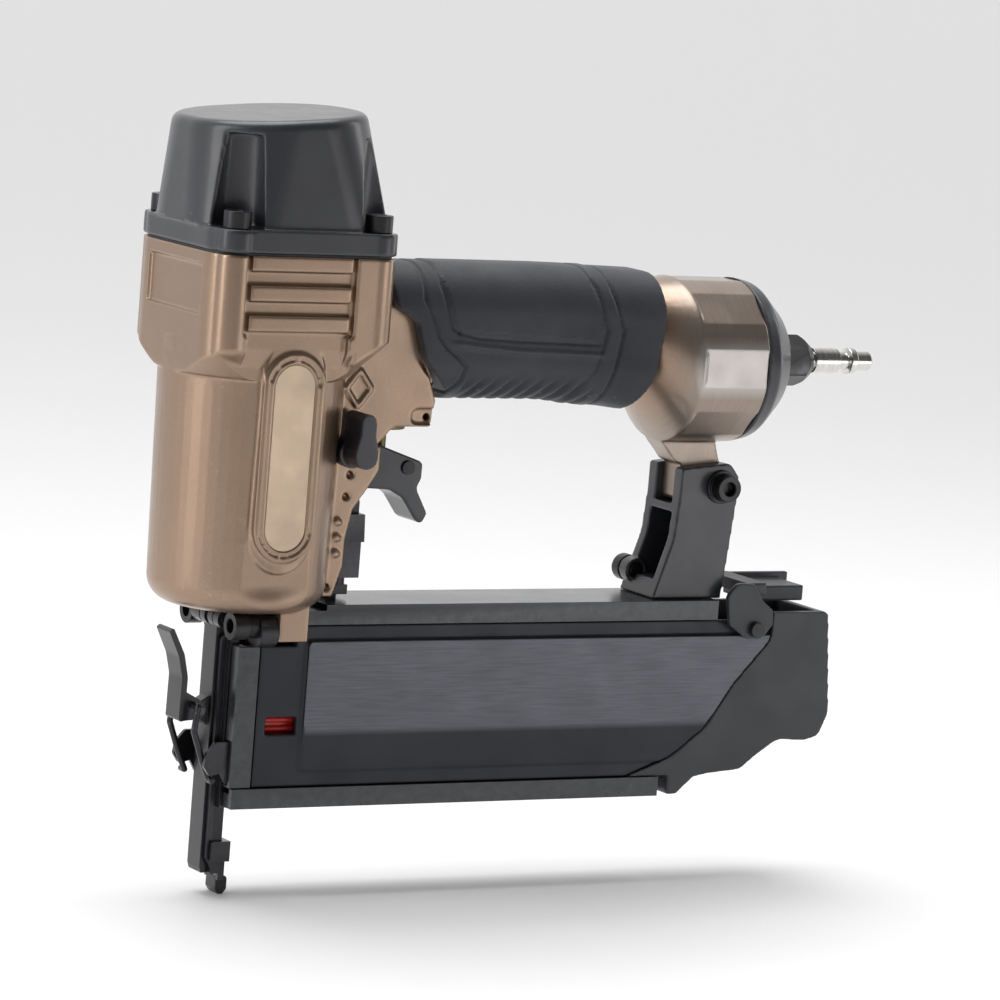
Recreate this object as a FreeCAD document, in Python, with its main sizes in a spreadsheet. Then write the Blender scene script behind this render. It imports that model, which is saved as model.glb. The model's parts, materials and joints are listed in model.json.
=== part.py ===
import FreeCAD, Part
import math
import os
import Sketcher
from FreeCAD import Placement, Rotation, Vector

# Pneumatic brad nailer, in millimetres. The origin is the middle of the front of the nose, where
# the tool touches the work: Z runs up the driver axis, X runs back along the magazine, and the
# operator's left-hand side, the near side, is -Y.

SIZES = {
    # Cast barrel, a little behind the driver axis, and its square head
    "barrel_x": 3.0, "barrel_radius_low": 27.2, "barrel_radius_high": 28.6, "barrel_base": 90.0,
    "barrel_top": 172.0, "barrel_edge": 8.0, "head_front": -25.3, "head_rear": 36.0, "head_half": 29.5,
    "head_base": 162.0, "head_top": 199.5, "front_corner": 11.0, "rear_corner": 7.0,
    "bolt_front": -18.0, "bolt_rear": 30.0, "bolt_side": 24.0, "boss_radius": 5.7,
    "rib_front": -14.5, "rib_rear": 19.6, "rib_base": 176.9, "rib_height": 4.8, "rib_pitch": 9.0,
    "rib_depth": 2.2, "panel_half": 17.5, "panel_low": 180.5, "panel_high": 195.5, "panel_depth": 1.0,
    "plate_x": 3.5, "plate_low": 107.0, "plate_high": 170.5, "ring_half": 10.3, "ring_face": 26.9,
    "ring_lip": 1.3, "plate_half": 6.8, "plate_seat": 1.0,
    # Bores inside the barrel
    "chamber_radius": 22.2, "chamber_base": 104.0, "seat_base": 97.0, "spigot_radius": 5.8,
    "sleeve_radius": 21.0, "bore_radius": 18.5, "sleeve_top": 198.8, "fit_gap": 0.05, "slide_gap": 0.3,
    "bumper_top": 104.5, "piston_base": 187.0, "piston_top": 196.5, "blade_tip": 88.0,
    "blade_x": 1.3, "blade_y": 1.1, "ring_wire": 1.5,
    # Cap over the head valve
    "gasket": 0.6, "flange_top": 207.0, "cap_top": 244.0, "dome_front": -27.0, "dome_rear": 40.0,
    "dome_half": 28.4, "dome_corner": 22.0, "crown_half": 28.0, "crown_corner": 26.0,
    "channel_radius": 7.6, "channel_top": 235.0, "cap_edge": 3.0, "valve_chamber": 21.5,
    "crown_low": 237.1, "crown_high": 243.2,
    "valve_ceiling": 227.0, "valve_base": 199.2, "valve_top": 211.0,
    # Socket screws
    "screw_head": 4.25, "screw_shank": 2.4, "screw_height": 5.4, "socket": 2.2, "socket_depth": 2.6,
    # Handle: core, grip and rear drum
    "handle_z": 175.4, "core_half_y": 13.0, "core_half_z": 17.0, "core_corner": 11.0, "core_front": 34.0,
    "air_radius": 10.5, "cone_front": 137.0, "cone_radius": 17.0, "cone_z": 174.8,
    "drum_front": 149.0, "drum_rear": 173.5, "drum_radius": 26.4, "drum_z": 167.5, "drum_flat": 25.7,
    "drum_bore": 21.0, "grip_front": 42.0, "grip_rear": 138.3, "grip_half": 17.2, "grip_top": 196.6,
    "grip_base": 154.3, "grip_corner": 14.5,
    "end_cap_rear": 187.5, "bulge_rear": 190.4, "bulge_base": 172.5,
    # Web between barrel and handle, with the trigger walls under it
    "web_half": 13.0, "web_top": 184.0, "web_base": 146.5, "web_rear": 60.5, "web_low": 139.0,
    "wall_inner": 8.0, "wall_outer": 10.6, "wall_base": 93.3,
    "valve_x": 49.5, "valve_radius": 6.2,
    # Trigger group
    "pivot_x": 37.0, "pivot_z": 138.0, "pin_radius": 2.0, "trigger_half": 6.6, "trigger_inner": 5.1,
    "idler_x": 56.4, "idler_z": 133.0, "idler_half": 3.6, "knob_x": 30.5, "knob_z": 139.0,
    "knob_face": 27.0, "knob_radius": 3.8, "knob_tip": 2.5, "knob_length": 10.5,
    # Contact arm and depth wheel
    "stud_x": 37.5, "stud_radius": 2.9, "wheel_radius": 6.4, "wheel_base": 103.0, "wheel_height": 6.5,
    "bar_front": 1.9, "bar_rear": 4.4, "bar_near": 3.9, "bar_far": 7.0, "run_base": 57.0, "run_top": 61.0,
    "riser_front": 35.0, "riser_rear": 40.4, "foot_base": 92.9, "foot_top": 95.9,
    # Nose
    "nose_base_z": 7.0, "nose_half": 6.0, "nose_rear": 1.6, "nose_front": -1.7, "cheek_front": -3.5,
    "upper_half": 6.6, "upper_base": 34.0, "door_front": -4.5, "door_rear": -1.9, "door_half": 4.2,
    "tongue_half": 2.3, "tongue_rear": -0.85, "hinge_x": -3.3, "hinge_z": 86.3, "knuckle": 3.1,
    "ear_front": 2.8, "ear_rear": 8.8, "ear_y": 14.8, "ear_z": 85.6, "ear_radius": 5.1, "lug_rear": 18.5,
    "ear_low": 78.7,
    "latch_x": -8.0, "latch_z": 57.5, "bail_x": -11.0, "bail_z": 59.5, "bail_side": 8.2, "wire": 1.0,
    "hook_z": 38.2, "hook_near": 9.6, "hook_far": 11.0,
    # Magazine
    "rail_top": 91.5, "rail_roof": 87.0, "rail_floor": 33.0, "rail_base": 28.5, "rail_near": 13.5,
    "rail_far": 11.5, "rail_wall": 2.5, "lip": 2.0, "lip_depth": 1.7, "rail_rear": 153.0,
    "roof_rear": 170.4, "rail_front": 4.8, "guide_inner": 1.2, "guide_outer": 2.5,
    "cover_front": 6.9, "inner_rear": 156.0, "cover_out": 12.6, "cover_in": 10.8, "tongue_in": 9.6,
    "panel_face": 14.0, "crease_z": 54.3, "window_front": 10.2, "window_rear": 20.9,
    "window_low": 51.2, "window_top": 56.6,
    "grip_top_z": 87.6, "latch_pin_x": 183.3, "latch_pin_z": 82.5,
    # Support arm
    "arm_half": 10.0, "lug_half": 5.0, "arm_screw_x": 169.5, "arm_screw_z": 127.7, "arm_base": 91.6,
    "foot_screw_x": 150.2, "foot_screw_z": 98.3,
    # Air plug
    "plug_z": 167.5, "hex_flat": 7.2, "hex_front": 187.5, "hex_rear": 204.0, "plug_rear": 228.6,
    "plug_radius": 4.15, "plug_bore": 2.4,
}

doc = FreeCAD.newDocument("NailGun")
sheet = doc.addObject("Spreadsheet::Sheet", "Sizes")
for row, (alias, number) in enumerate(SIZES.items(), start=1):
    sheet.set("A%d" % row, alias)
    sheet.set("B%d" % row, str(number))
    sheet.setAlias("B%d" % row, alias)
doc.recompute()


class Size:
    """A length that knows its number and the sheet expression it comes from."""

    def __init__(self, number, text):
        self.number = number
        self.text = text

    def __add__(self, other):
        other = size(other)
        return Size(self.number + other.number, "(%s + %s)" % (self.text, other.text))

    def __sub__(self, other):
        other = size(other)
        return Size(self.number - other.number, "(%s - %s)" % (self.text, other.text))

    def __mul__(self, other):
        other = size(other)
        return Size(self.number * other.number, "(%s * %s)" % (self.text, other.text))

    def __truediv__(self, other):
        other = size(other)
        return Size(self.number / other.number, "(%s / %s)" % (self.text, other.text))

    def __neg__(self):
        return size(0) - self

    def __radd__(self, other):
        return size(other) + self

    def __rsub__(self, other):
        return size(other) - self

    def __rmul__(self, other):
        return size(other) * self


def size(value):
    """Turns a plain number into a Size."""
    return value if isinstance(value, Size) else Size(float(value), "%.6g" % value)


class Named:
    """Gives every sheet cell as an attribute."""

    def __init__(self):
        for alias, number in SIZES.items():
            setattr(self, alias, Size(number, "Sizes." + alias))


s = Named()
PIECES = []


class Piece:
    """One sub-part: a PartDesign body that features are added to and cut from."""

    def __init__(self, label):
        self.label = label
        self.body = doc.addObject("PartDesign::Body", label)
        self.body.Label = label
        self.body.AllowCompound = True
        self.planes = {plane.Role: plane for plane in self.body.Origin.OriginFeatures}
        PIECES.append(self)

    def feature(self, kind, name):
        """Adds a PartDesign feature to the body. Faces are left split, which is quicker."""
        added = self.body.newObject("PartDesign::" + kind, self.label + "_" + name)
        if hasattr(added, "Refine"):
            added.Refine = False
        return added

    def place(self, feature, x, y, z, rotation=None):
        """Puts a primitive or a sketch at x, y, z."""
        feature.Placement = Placement(Vector(x.number, y.number, z.number), rotation or Rotation())
        for axis, value in (("x", x), ("y", y), ("z", z)):
            feature.setExpression("Placement.Base." + axis, value.text)

    def box(self, xs, ys, zs, cut=False):
        """A block between the limits xs, ys and zs."""
        block = self.feature("SubtractiveBox" if cut else "AdditiveBox", "block")
        spans = [(size(low), size(high)) for low, high in (xs, ys, zs)]
        for name, (low, high) in zip(("Length", "Width", "Height"), spans):
            block.setExpression(name, (high - low).text)
        self.place(block, spans[0][0], spans[1][0], spans[2][0])
        return block

    def rod(self, axis, centre, span, radius, cut=False, radius_end=None):
        """A cylinder, or a cone with radius_end, along an axis. centre holds the other two coordinates."""
        low, high = size(span[0]), size(span[1])
        first, second = size(centre[0]), size(centre[1])
        shape = "Cylinder" if radius_end is None else "Cone"
        rod = self.feature(("Subtractive" if cut else "Additive") + shape, "rod")
        if radius_end is None:
            rod.setExpression("Radius", size(radius).text)
        else:
            rod.setExpression("Radius1", size(radius).text)
            rod.setExpression("Radius2", size(radius_end).text)
        rod.setExpression("Height", (high - low).text)
        if axis == "Z":
            self.place(rod, first, second, low)
        elif axis == "X":
            self.place(rod, low, first, second, Rotation(Vector(0, 1, 0), 90))
        else:
            self.place(rod, first, low, second, Rotation(Vector(1, 0, 0), -90))
        return rod

    def ring(self, axis, centre, level, radius, wire, cut=False):
        """A torus around an axis at a level along it."""
        ring = self.feature("SubtractiveTorus" if cut else "AdditiveTorus", "ring")
        ring.setExpression("Radius1", size(radius).text)
        ring.setExpression("Radius2", size(wire).text)
        first, second, level = size(centre[0]), size(centre[1]), size(level)
        if axis == "Z":
            self.place(ring, first, second, level)
        else:
            self.place(ring, level, first, second, Rotation(Vector(0, 1, 0), 90))
        return ring

    def sketch(self, plane, loops, level=0, origin=(0, 0)):
        """A sketch on an origin plane. A loop is a list of corners (u, v) or (u, v, radius), or one circle
        (u, v, radius) given as a tuple."""
        drawing = self.body.newObject("Sketcher::SketchObject", self.label + "_sketch")
        drawing.AttachmentSupport = [(self.planes[plane + "_Plane"], "")]
        drawing.MapMode = "FlatFace"
        shifts = (size(origin[0]), size(origin[1]), size(level))
        drawing.AttachmentOffset = Placement(Vector(*[shift.number for shift in shifts]), Rotation())
        for axis, shift in zip("xyz", shifts):
            drawing.setExpression("AttachmentOffset.Base." + axis, shift.text)
        held = []
        for loop in loops:
            if isinstance(loop, tuple):
                draw_circle(drawing, held, *[size(value) for value in loop])
            else:
                draw_outline(drawing, held, [[size(value) for value in corner] for corner in loop])
        drawing.addConstraint([constraint for constraint, value in held])
        for index, (constraint, value) in enumerate(held):
            if value is not None:
                drawing.setExpression("Constraints[%d]" % index, value.text)
        return drawing

    def prism(self, plane, loops, span, cut=False):
        """Extrudes loops drawn in a plane between two levels along the plane's axis."""
        low, high = size(span[0]), size(span[1])
        level = -high if plane == "XZ" else low
        drawing = self.sketch(plane, loops, level)
        prism = self.feature("Pocket" if cut else "Pad", "prism")
        prism.Profile = drawing
        prism.setExpression("Length", (high - low).text)
        prism.Reversed = cut
        return prism

    def turn(self, axis, centre, profile, cut=False):
        """Revolves a profile of (along, radius) corners about an axis. centre is its other coordinates."""
        first, second = size(centre[0]), size(centre[1])
        if axis == "Z":
            corners = [[corner[1], corner[0]] + list(corner[2:]) for corner in profile]
            drawing = self.sketch("XZ", [corners], -second, (first, 0))
            line = "V_Axis"
        elif axis == "X":
            drawing = self.sketch("XZ", [profile], -first, (0, second))
            line = "H_Axis"
        else:
            drawing = self.sketch("YZ", [profile], first, (0, second))
            line = "H_Axis"
        turned = self.feature("Groove" if cut else "Revolution", "turn")
        turned.Profile = drawing
        turned.ReferenceAxis = (drawing, [line])
        turned.Angle = 360
        return turned

    def loft(self, plane, sections, cut=False):
        """A straight loft through sections, each a level and a loop."""
        drawings = [self.sketch(plane, [loop], level) for level, loop in sections]
        lofted = self.feature("SubtractiveLoft" if cut else "AdditiveLoft", "loft")
        lofted.Profile = drawings[0]
        lofted.Sections = drawings[1:]
        lofted.Ruled = False
        return lofted

    def coil(self, centre, span, radius, wire, turns):
        """A compression spring along Z."""
        low, high = size(span[0]), size(span[1])
        centre = (size(centre[0]), size(centre[1]))
        profile = [(size(radius), low + wire, size(wire))]
        drawing = self.sketch("XZ", profile, -centre[1], (centre[0], 0))
        spring = self.feature("AdditiveHelix", "coil")
        spring.Profile = drawing
        spring.ReferenceAxis = (drawing, ["V_Axis"])
        spring.Mode = 0
        rise = high - low - 2 * size(wire)
        spring.setExpression("Pitch", (rise / turns).text)
        spring.setExpression("Height", rise.text)
        return spring

    def soften(self, radius, chosen, chamfer=False):
        """Rounds or bevels the edges of the present shape that chosen accepts."""
        doc.recompute()
        base = self.body.Tip
        names = ["Edge%d" % number for number, edge in enumerate(base.Shape.Edges, start=1) if chosen(edge)]
        if not names:
            raise RuntimeError(self.label + ": no edge to soften")
        kind, prop = ("Chamfer", "Size") if chamfer else ("Fillet", "Radius")
        soft = self.feature(kind, kind.lower())
        soft.Base = (base, names)
        soft.setExpression(prop, size(radius).text)
        return soft


def fix_point(held, item, end, u, v):
    """Holds one point of a drawing at u, v."""
    held.append((Sketcher.Constraint("DistanceX", -1, 1, item, end, u.number), u))
    held.append((Sketcher.Constraint("DistanceY", -1, 1, item, end, v.number), v))


def draw_circle(drawing, held, u, v, radius):
    """A full circle, fixed by its centre and radius."""
    circle = drawing.addGeometry(Part.Circle(Vector(u.number, v.number, 0), Vector(0, 0, 1), radius.number))
    fix_point(held, circle, 3, u, v)
    held.append((Sketcher.Constraint("Radius", circle, radius.number), radius))


def draw_outline(drawing, held, corners):
    """A closed outline of straight sides. A corner with a third value is rounded to that radius."""
    points = [Vector(corner[0].number, corner[1].number, 0) for corner in corners]
    count = len(corners)
    radii = [corner[2].number if len(corner) > 2 else 0.0 for corner in corners]
    trims = []
    for number in range(count):
        before = (points[number - 1] - points[number]).normalize()
        after = (points[(number + 1) % count] - points[number]).normalize()
        half = before.getAngle(after) / 2
        reach = radii[number] / math.tan(half) if radii[number] else 0.0
        trims.append((points[number] + before * reach, points[number] + after * reach, before, after, half))
    sides = []
    for number in range(count):
        start = trims[number][1]
        finish = trims[(number + 1) % count][0]
        sides.append(drawing.addGeometry(Part.LineSegment(start, finish)))
    for number in range(count):
        last, side = sides[number - 1], sides[number]
        if not radii[number]:
            held.append((Sketcher.Constraint("Coincident", last, 2, side, 1), None))
            fix_point(held, side, 1, corners[number][0], corners[number][1])
            continue
        start, finish, before, after, half = trims[number]
        inward = (before + after).normalize()
        centre = points[number] + inward * (radii[number] / math.sin(half))
        circle = Part.Circle(centre, Vector(0, 0, 1), radii[number])
        opening = math.atan2(start.y - centre.y, start.x - centre.x)
        closing = math.atan2(finish.y - centre.y, finish.x - centre.x)
        sweep = (closing - opening) % (2 * math.pi)
        first, second = (1, 2) if sweep < math.pi else (2, 1)
        if first == 2:
            opening, sweep = closing, 2 * math.pi - sweep
        arc = drawing.addGeometry(Part.ArcOfCircle(circle, opening, opening + sweep))
        held.append((Sketcher.Constraint("Tangent", last, 2, arc, first), None))
        held.append((Sketcher.Constraint("Tangent", arc, second, side, 1), None))
        held.append((Sketcher.Constraint("Radius", arc, radii[number]), corners[number][2]))
        vertex = drawing.addGeometry(Part.Point(points[number]), True)
        fix_point(held, vertex, 1, corners[number][0], corners[number][1])
        held.append((Sketcher.Constraint("PointOnObject", vertex, 1, last), None))
        held.append((Sketcher.Constraint("PointOnObject", vertex, 1, side), None))


def rounded(us, vs, *radii):
    """A rectangle with rounded corners: one radius for all, or one each for the low-u and high-u corners."""
    low, high = radii if len(radii) == 2 else (radii[0], radii[0])
    return [(us[0], vs[0], low), (us[1], vs[0], high), (us[1], vs[1], high), (us[0], vs[1], low)]


def capsule(u, low, high, half):
    """An upright slot shape with nearly round ends."""
    corner = half - 0.05
    return [(u - half, low, corner), (u + half, low, corner), (u + half, high, corner),
            (u - half, high, corner)]


def along(edge, direction):
    """True for a straight edge that runs along a direction."""
    if edge.Curve.TypeId != "Part::GeomLine":
        return False
    return abs(abs(edge.tangentAt(edge.FirstParameter).dot(direction)) - 1) < 1e-6


def within(edge, low, high):
    """True for an edge that lies wholly in the box from low to high."""
    bounds = edge.BoundBox
    return (bounds.XMin > low[0] and bounds.YMin > low[1] and bounds.ZMin > low[2]
            and bounds.XMax < high[0] and bounds.YMax < high[1] and bounds.ZMax < high[2])


FAR = 1000.0
X_AXIS, Y_AXIS, Z_AXIS = Vector(1, 0, 0), Vector(0, 1, 0), Vector(0, 0, 1)
BOLTS = [(x, y) for x in (s.bolt_front, s.bolt_rear) for y in (-s.bolt_side, s.bolt_side)]
SIDES = (-1, 1)


def side_span(side, inner, outer):
    """The Y limits of something between inner and outer on one side."""
    return (-size(outer), -size(inner)) if side < 0 else (size(inner), size(outer))


def cap_screw(piece, axis, centre, seat, height, length, sign=1):
    """A socket screw whose head stands on seat; sign is the way the head points along the axis."""
    seat, height, length = size(seat), size(height), size(length)
    head_end = seat + sign * height
    tip = seat - sign * length
    socket_end = head_end - sign * s.socket_depth
    ordered = (lambda a, b: (a, b)) if sign > 0 else (lambda a, b: (b, a))
    piece.rod(axis, centre, ordered(seat, head_end), s.screw_head)
    piece.rod(axis, centre, ordered(tip, seat), s.screw_shank)
    piece.rod(axis, centre, ordered(socket_end, head_end), s.socket, cut=True)


def handle_core(piece, gap, cut=False):
    """The cast tube inside the grip and the cone that widens from it to the drum."""
    tube = rounded((-s.core_half_y - gap, s.core_half_y + gap),
                   (s.handle_z - s.core_half_z - gap, s.handle_z + s.core_half_z + gap), s.core_corner)
    piece.prism("YZ", [tube], (s.core_front, s.cone_front + 4), cut)
    piece.loft("YZ", [(s.cone_front, (0, s.cone_z, s.cone_radius + gap)),
                      (s.drum_front, (0, s.drum_z, s.drum_radius + gap))], cut)


# ---------------------------------------------------------------------------------------------
# Casting


def make_housing():
    """The main casting: barrel, square head, web, trigger walls, handle core, drum and lugs."""
    housing = Piece("main_housing")
    axis = (s.barrel_x, 0)
    housing.turn("Z", axis, [(s.barrel_base, 0), (s.barrel_base, s.barrel_radius_low, s.barrel_edge),
                             (s.barrel_top, s.barrel_radius_high), (s.barrel_top, 0)])
    housing.prism("XY", [rounded((s.head_front, s.head_rear), (-s.head_half, s.head_half),
                                 s.front_corner, s.rear_corner)], (s.head_base, s.head_top))
    for bolt in BOLTS:
        housing.rod("Z", bolt, (s.head_base, s.head_top), s.boss_radius)
    housing.turn("Z", axis, [(s.head_base - 1, s.barrel_radius_high - 0.05),
                             (s.head_base - 1, s.head_rear * 2),
                             (s.head_base + 42, s.head_rear * 2)], cut=True)
    for side in SIDES:
        skin = side_span(side, s.head_half - s.rib_depth, s.head_half + 1)
        housing.box((s.rib_front, s.rib_rear), skin, (s.head_base - 1, s.rib_base), cut=True)
        for number in range(2):
            low = s.rib_base + s.rib_height + number * s.rib_pitch
            housing.box((s.rib_front, s.rib_rear), skin, (low, low + s.rib_pitch - s.rib_height), cut=True)
        for edge in (s.rib_front - 1.4, s.rib_rear):
            housing.box((edge, edge + 1.4), skin, (s.rib_base - 1.5, s.head_top), cut=True)
    housing.box((s.head_front - 1, s.head_front + s.panel_depth), (-s.panel_half, s.panel_half),
                (s.panel_low, s.panel_high), cut=True)
    for side in SIDES:
        mount = side_span(side, 16, s.ring_face + s.ring_lip)
        outer = capsule(s.plate_x, s.plate_low, s.plate_high, s.ring_half)
        housing.prism("XZ", [outer], mount)
        seat = side_span(side, s.ring_face + s.ring_lip - s.plate_seat, s.ring_face + s.ring_lip + 1)
        inner = capsule(s.plate_x, s.plate_low + s.ring_half - s.plate_half,
                        s.plate_high - s.ring_half + s.plate_half, s.plate_half)
        housing.prism("XZ", [inner], seat, cut=True)
        groove = side_span(side, s.ring_face + s.ring_lip - 0.7, s.ring_face + s.ring_lip + 1)
        band = [capsule(s.plate_x, s.plate_low + 1.5, s.plate_high - 1.5, s.ring_half - 1.5),
                capsule(s.plate_x, s.plate_low + 2.4, s.plate_high - 2.4, s.ring_half - 2.4)]
        housing.prism("XZ", band, groove, cut=True)
    web = [(s.barrel_x + 18, s.web_low), (39.7, s.web_low, 2), (47, s.web_base, 3),
           (s.web_rear, s.web_base, 2),
           (s.web_rear + 0.3, 155), (s.web_rear - 2.3, 162), (52.4, 168.5), (49.6, 176.5), (48, s.web_top, 8),
           (s.barrel_x + 18, s.web_top)]
    housing.prism("XZ", [web], (-s.web_half, s.web_half))
    handle_core(housing, 0)
    housing.rod("X", (0, s.drum_z), (s.drum_front - 0.02, s.drum_rear), s.drum_radius)
    for number in range(8):
        turn = math.radians(45 * number)
        flat = housing.box((0, 30), (-12, 12), (0, 4), cut=True)
        base_y = s.drum_flat * math.sin(turn) - 12 * math.cos(turn)
        base_z = s.drum_z + s.drum_flat * math.cos(turn) + 12 * math.sin(turn)
        housing.place(flat, s.drum_front + 1, base_y, base_z, Rotation(X_AXIS, -math.degrees(turn)))
    wall = [(s.barrel_x + 20.5, s.wall_base), (30.9, s.wall_base), (34, 103), (34.2, 112), (36, 120.5),
            (40.3, 126.4), (44.2, 132.5), (44.2, 140), (s.barrel_x + 20.5, 140)]
    for side in SIDES:
        housing.prism("XZ", [wall], side_span(side, s.wall_inner, s.wall_outer))
    lug = [(149, s.drum_z - 22), (168, s.drum_z - 22), (171.3, 135.3), (174, 132.5), (174, 122, 2),
           (157, 122, 2), (157, 134), (154.7, 134.9), (149, 141.3)]
    housing.prism("XZ", [lug], (-s.lug_half, s.lug_half))
    for side in SIDES:
        housing.box((s.ear_rear, s.lug_rear), side_span(side, s.ear_y - s.ear_radius, s.ear_y + s.ear_radius),
                    (s.ear_z - 4.4, s.barrel_base + 6))
    # Hollow inside
    housing.turn("Z", (0, 0), [(s.barrel_base - 1, 0), (s.barrel_base - 1, s.spigot_radius + 0.05),
                               (s.seat_base, s.spigot_radius + 0.05), (s.seat_base, s.sleeve_radius + 0.05),
                               (s.chamber_base, s.sleeve_radius + 0.05), (s.chamber_base, s.chamber_radius),
                               (s.head_top + 1, s.chamber_radius), (s.head_top + 1, 0)], cut=True)
    housing.rod("X", (0, s.handle_z - 2), (s.chamber_radius - 4, s.drum_front), s.air_radius, cut=True)
    housing.rod("X", (0, s.drum_z), (s.drum_front, s.drum_rear + 1), s.drum_bore, cut=True)
    housing.rod("Z", (s.valve_x, 0), (s.web_base - 8, s.handle_z - 4), s.valve_radius + 0.05, cut=True)
    housing.box((31.5, 56), (-s.wall_inner, s.wall_inner), (120, s.web_base), cut=True)
    # Screw and pin holes
    for bolt in BOLTS:
        housing.rod("Z", bolt, (s.head_top - 16, s.head_top + 1), s.screw_shank + 0.05, cut=True)
    for side in SIDES:
        housing.rod("X", (side * s.ear_y, s.ear_z), (s.ear_rear - 1, s.lug_rear - 2), s.screw_shank + 0.05,
                    cut=True)
    housing.rod("Y", (s.arm_screw_x, s.arm_screw_z), (-s.lug_half - 1, s.lug_half + 1), s.screw_shank + 0.05,
                cut=True)
    housing.rod("Y", (s.pivot_x, s.pivot_z), (-s.web_half - 1, s.web_half + 1), s.pin_radius + 0.05, cut=True)
    housing.rod("Y", (s.knob_x, s.knob_z), (-s.web_half - 1, -s.wall_inner + 0.5), 2.55, cut=True)
    housing.rod("Y", (s.knob_x, s.knob_z), (-s.web_half - 8, -s.web_half), s.knob_radius + 1.3, cut=True)
    slot = rounded((52.8, s.web_rear + 1), (147.2, 152.2), 2.4, 0.2)
    housing.prism("XZ", [slot], (-s.web_half - 1, -s.web_half + 1.2), cut=True)
    for u, v, depth in ((58.6, 149.5, 6), (34.1, 131.3, 0), (33.2, 124.5, 0), (28.7, 96.4, 0)):
        outer = s.web_half if depth else s.wall_outer
        housing.rod("Y", (u, v), (-outer - 1, -outer + 1.8 + depth), 1.1, cut=True)
    for level in (116.6, 111.7, 106.8):
        drop = [(29.6, level - 1.3, 0.9), (32.6, level - 0.3, 0.4), (30.2, level + 1.7, 0.6)]
        housing.prism("XZ", [drop], (-s.wall_outer - 0.8, -s.wall_outer + 0.5))
    diamond = [(33.4, 151.5, 1), (38.6, 158.2, 1), (33.4, 164.9, 1), (28.2, 158.2, 1)]
    inside = [(33.4, 153.5, 0.6), (37, 158.2, 0.6), (33.4, 162.9, 0.6), (29.8, 158.2, 0.6)]
    housing.prism("XZ", [diamond, inside], (-s.web_half - 0.7, -s.web_half + 0.5))
    return housing


def make_side_plate(label, side):
    """The plain cream plate set in the ring on one side of the barrel."""
    plate = Piece(label)
    low = s.plate_low + s.ring_half - s.plate_half + s.fit_gap
    high = s.plate_high - s.ring_half + s.plate_half - s.fit_gap
    seat = s.ring_face + s.ring_lip - s.plate_seat
    plate.prism("XZ", [capsule(s.plate_x, low, high, s.plate_half - s.fit_gap)],
                side_span(side, seat, seat + 0.8))


# ---------------------------------------------------------------------------------------------
# Cap, head valve, sleeve and piston


def flange_outline(inset=0):
    """The outline that the gasket and the cap's flange share with the top of the casting."""
    return rounded((s.head_front + inset, s.head_rear - inset), (-s.head_half + inset, s.head_half - inset),
                   s.front_corner, s.rear_corner)


def make_cap():
    """The moulded cap: bolted flange, tapering dome with a sloping top and a channel over each bolt."""
    cap = Piece("cylinder_cap")
    low = s.head_top + s.gasket
    cap.prism("XY", [flange_outline()], (low, s.flange_top))
    for bolt in BOLTS:
        cap.rod("Z", bolt, (low, s.flange_top), s.boss_radius + 0.3)
    base = rounded((s.dome_front, s.dome_rear), (-s.dome_half, s.dome_half), s.dome_corner)
    crown = rounded((s.barrel_x - s.crown_half, s.barrel_x + s.crown_half), (-s.crown_half, s.crown_half),
                    s.crown_corner)
    cap.loft("XY", [(s.flange_top, base), (s.cap_top, crown)])
    cap.prism("XZ", [[(-35, s.crown_low), (40, s.crown_high), (40, s.cap_top + 1), (-35, s.cap_top + 1)]],
              (-40, 40), cut=True)
    cap.soften(s.cap_edge, lambda edge: within(edge, (-FAR, -FAR, 237.0), (FAR, FAR, FAR)))
    for bolt in BOLTS:
        cap.rod("Z", bolt, (s.flange_top, s.channel_top), s.channel_radius + 0.6, cut=True,
                radius_end=s.channel_radius - 1.2)
        cap.rod("Z", bolt, (low - 1, s.flange_top + 1), s.screw_shank + 0.1, cut=True)
    cap.rod("Z", (0, 0), (low - 1, s.valve_ceiling), s.valve_chamber, cut=True)


def make_gasket():
    """The flat gasket between the casting and the cap."""
    gasket = Piece("cap_gasket")
    gasket.prism("XY", [flange_outline(0.6), (0, 0, s.chamber_radius + 0.6)],
                 (s.head_top, s.head_top + s.gasket))
    for bolt in BOLTS:
        gasket.rod("Z", bolt, (s.head_top - 1, s.head_top + 2), s.screw_shank + 0.2, cut=True)


def make_cap_screws():
    """Four socket screws through the cap's flange."""
    screws = Piece("cap_screws")
    for bolt in BOLTS:
        cap_screw(screws, "Z", bolt, s.flange_top, s.screw_height, 20)


def make_head_valve():
    """The head valve piston that seals the top of the sleeve, and its spring."""
    valve = Piece("head_valve")
    valve.turn("Z", (0, 0), [(s.valve_base, 0), (s.valve_base, s.valve_chamber - s.slide_gap),
                             (s.valve_base + 6, s.valve_chamber - s.slide_gap), (s.valve_base + 6, 17),
                             (s.valve_top, 17), (s.valve_top, 9), (s.valve_top - 6, 9), (s.valve_top - 6, 0)])
    spring = Piece("head_valve_spring")
    spring.coil((0, 0), (s.valve_top + 0.2, s.valve_ceiling - 0.1), 13.5, 1.0, 3.5)


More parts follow.
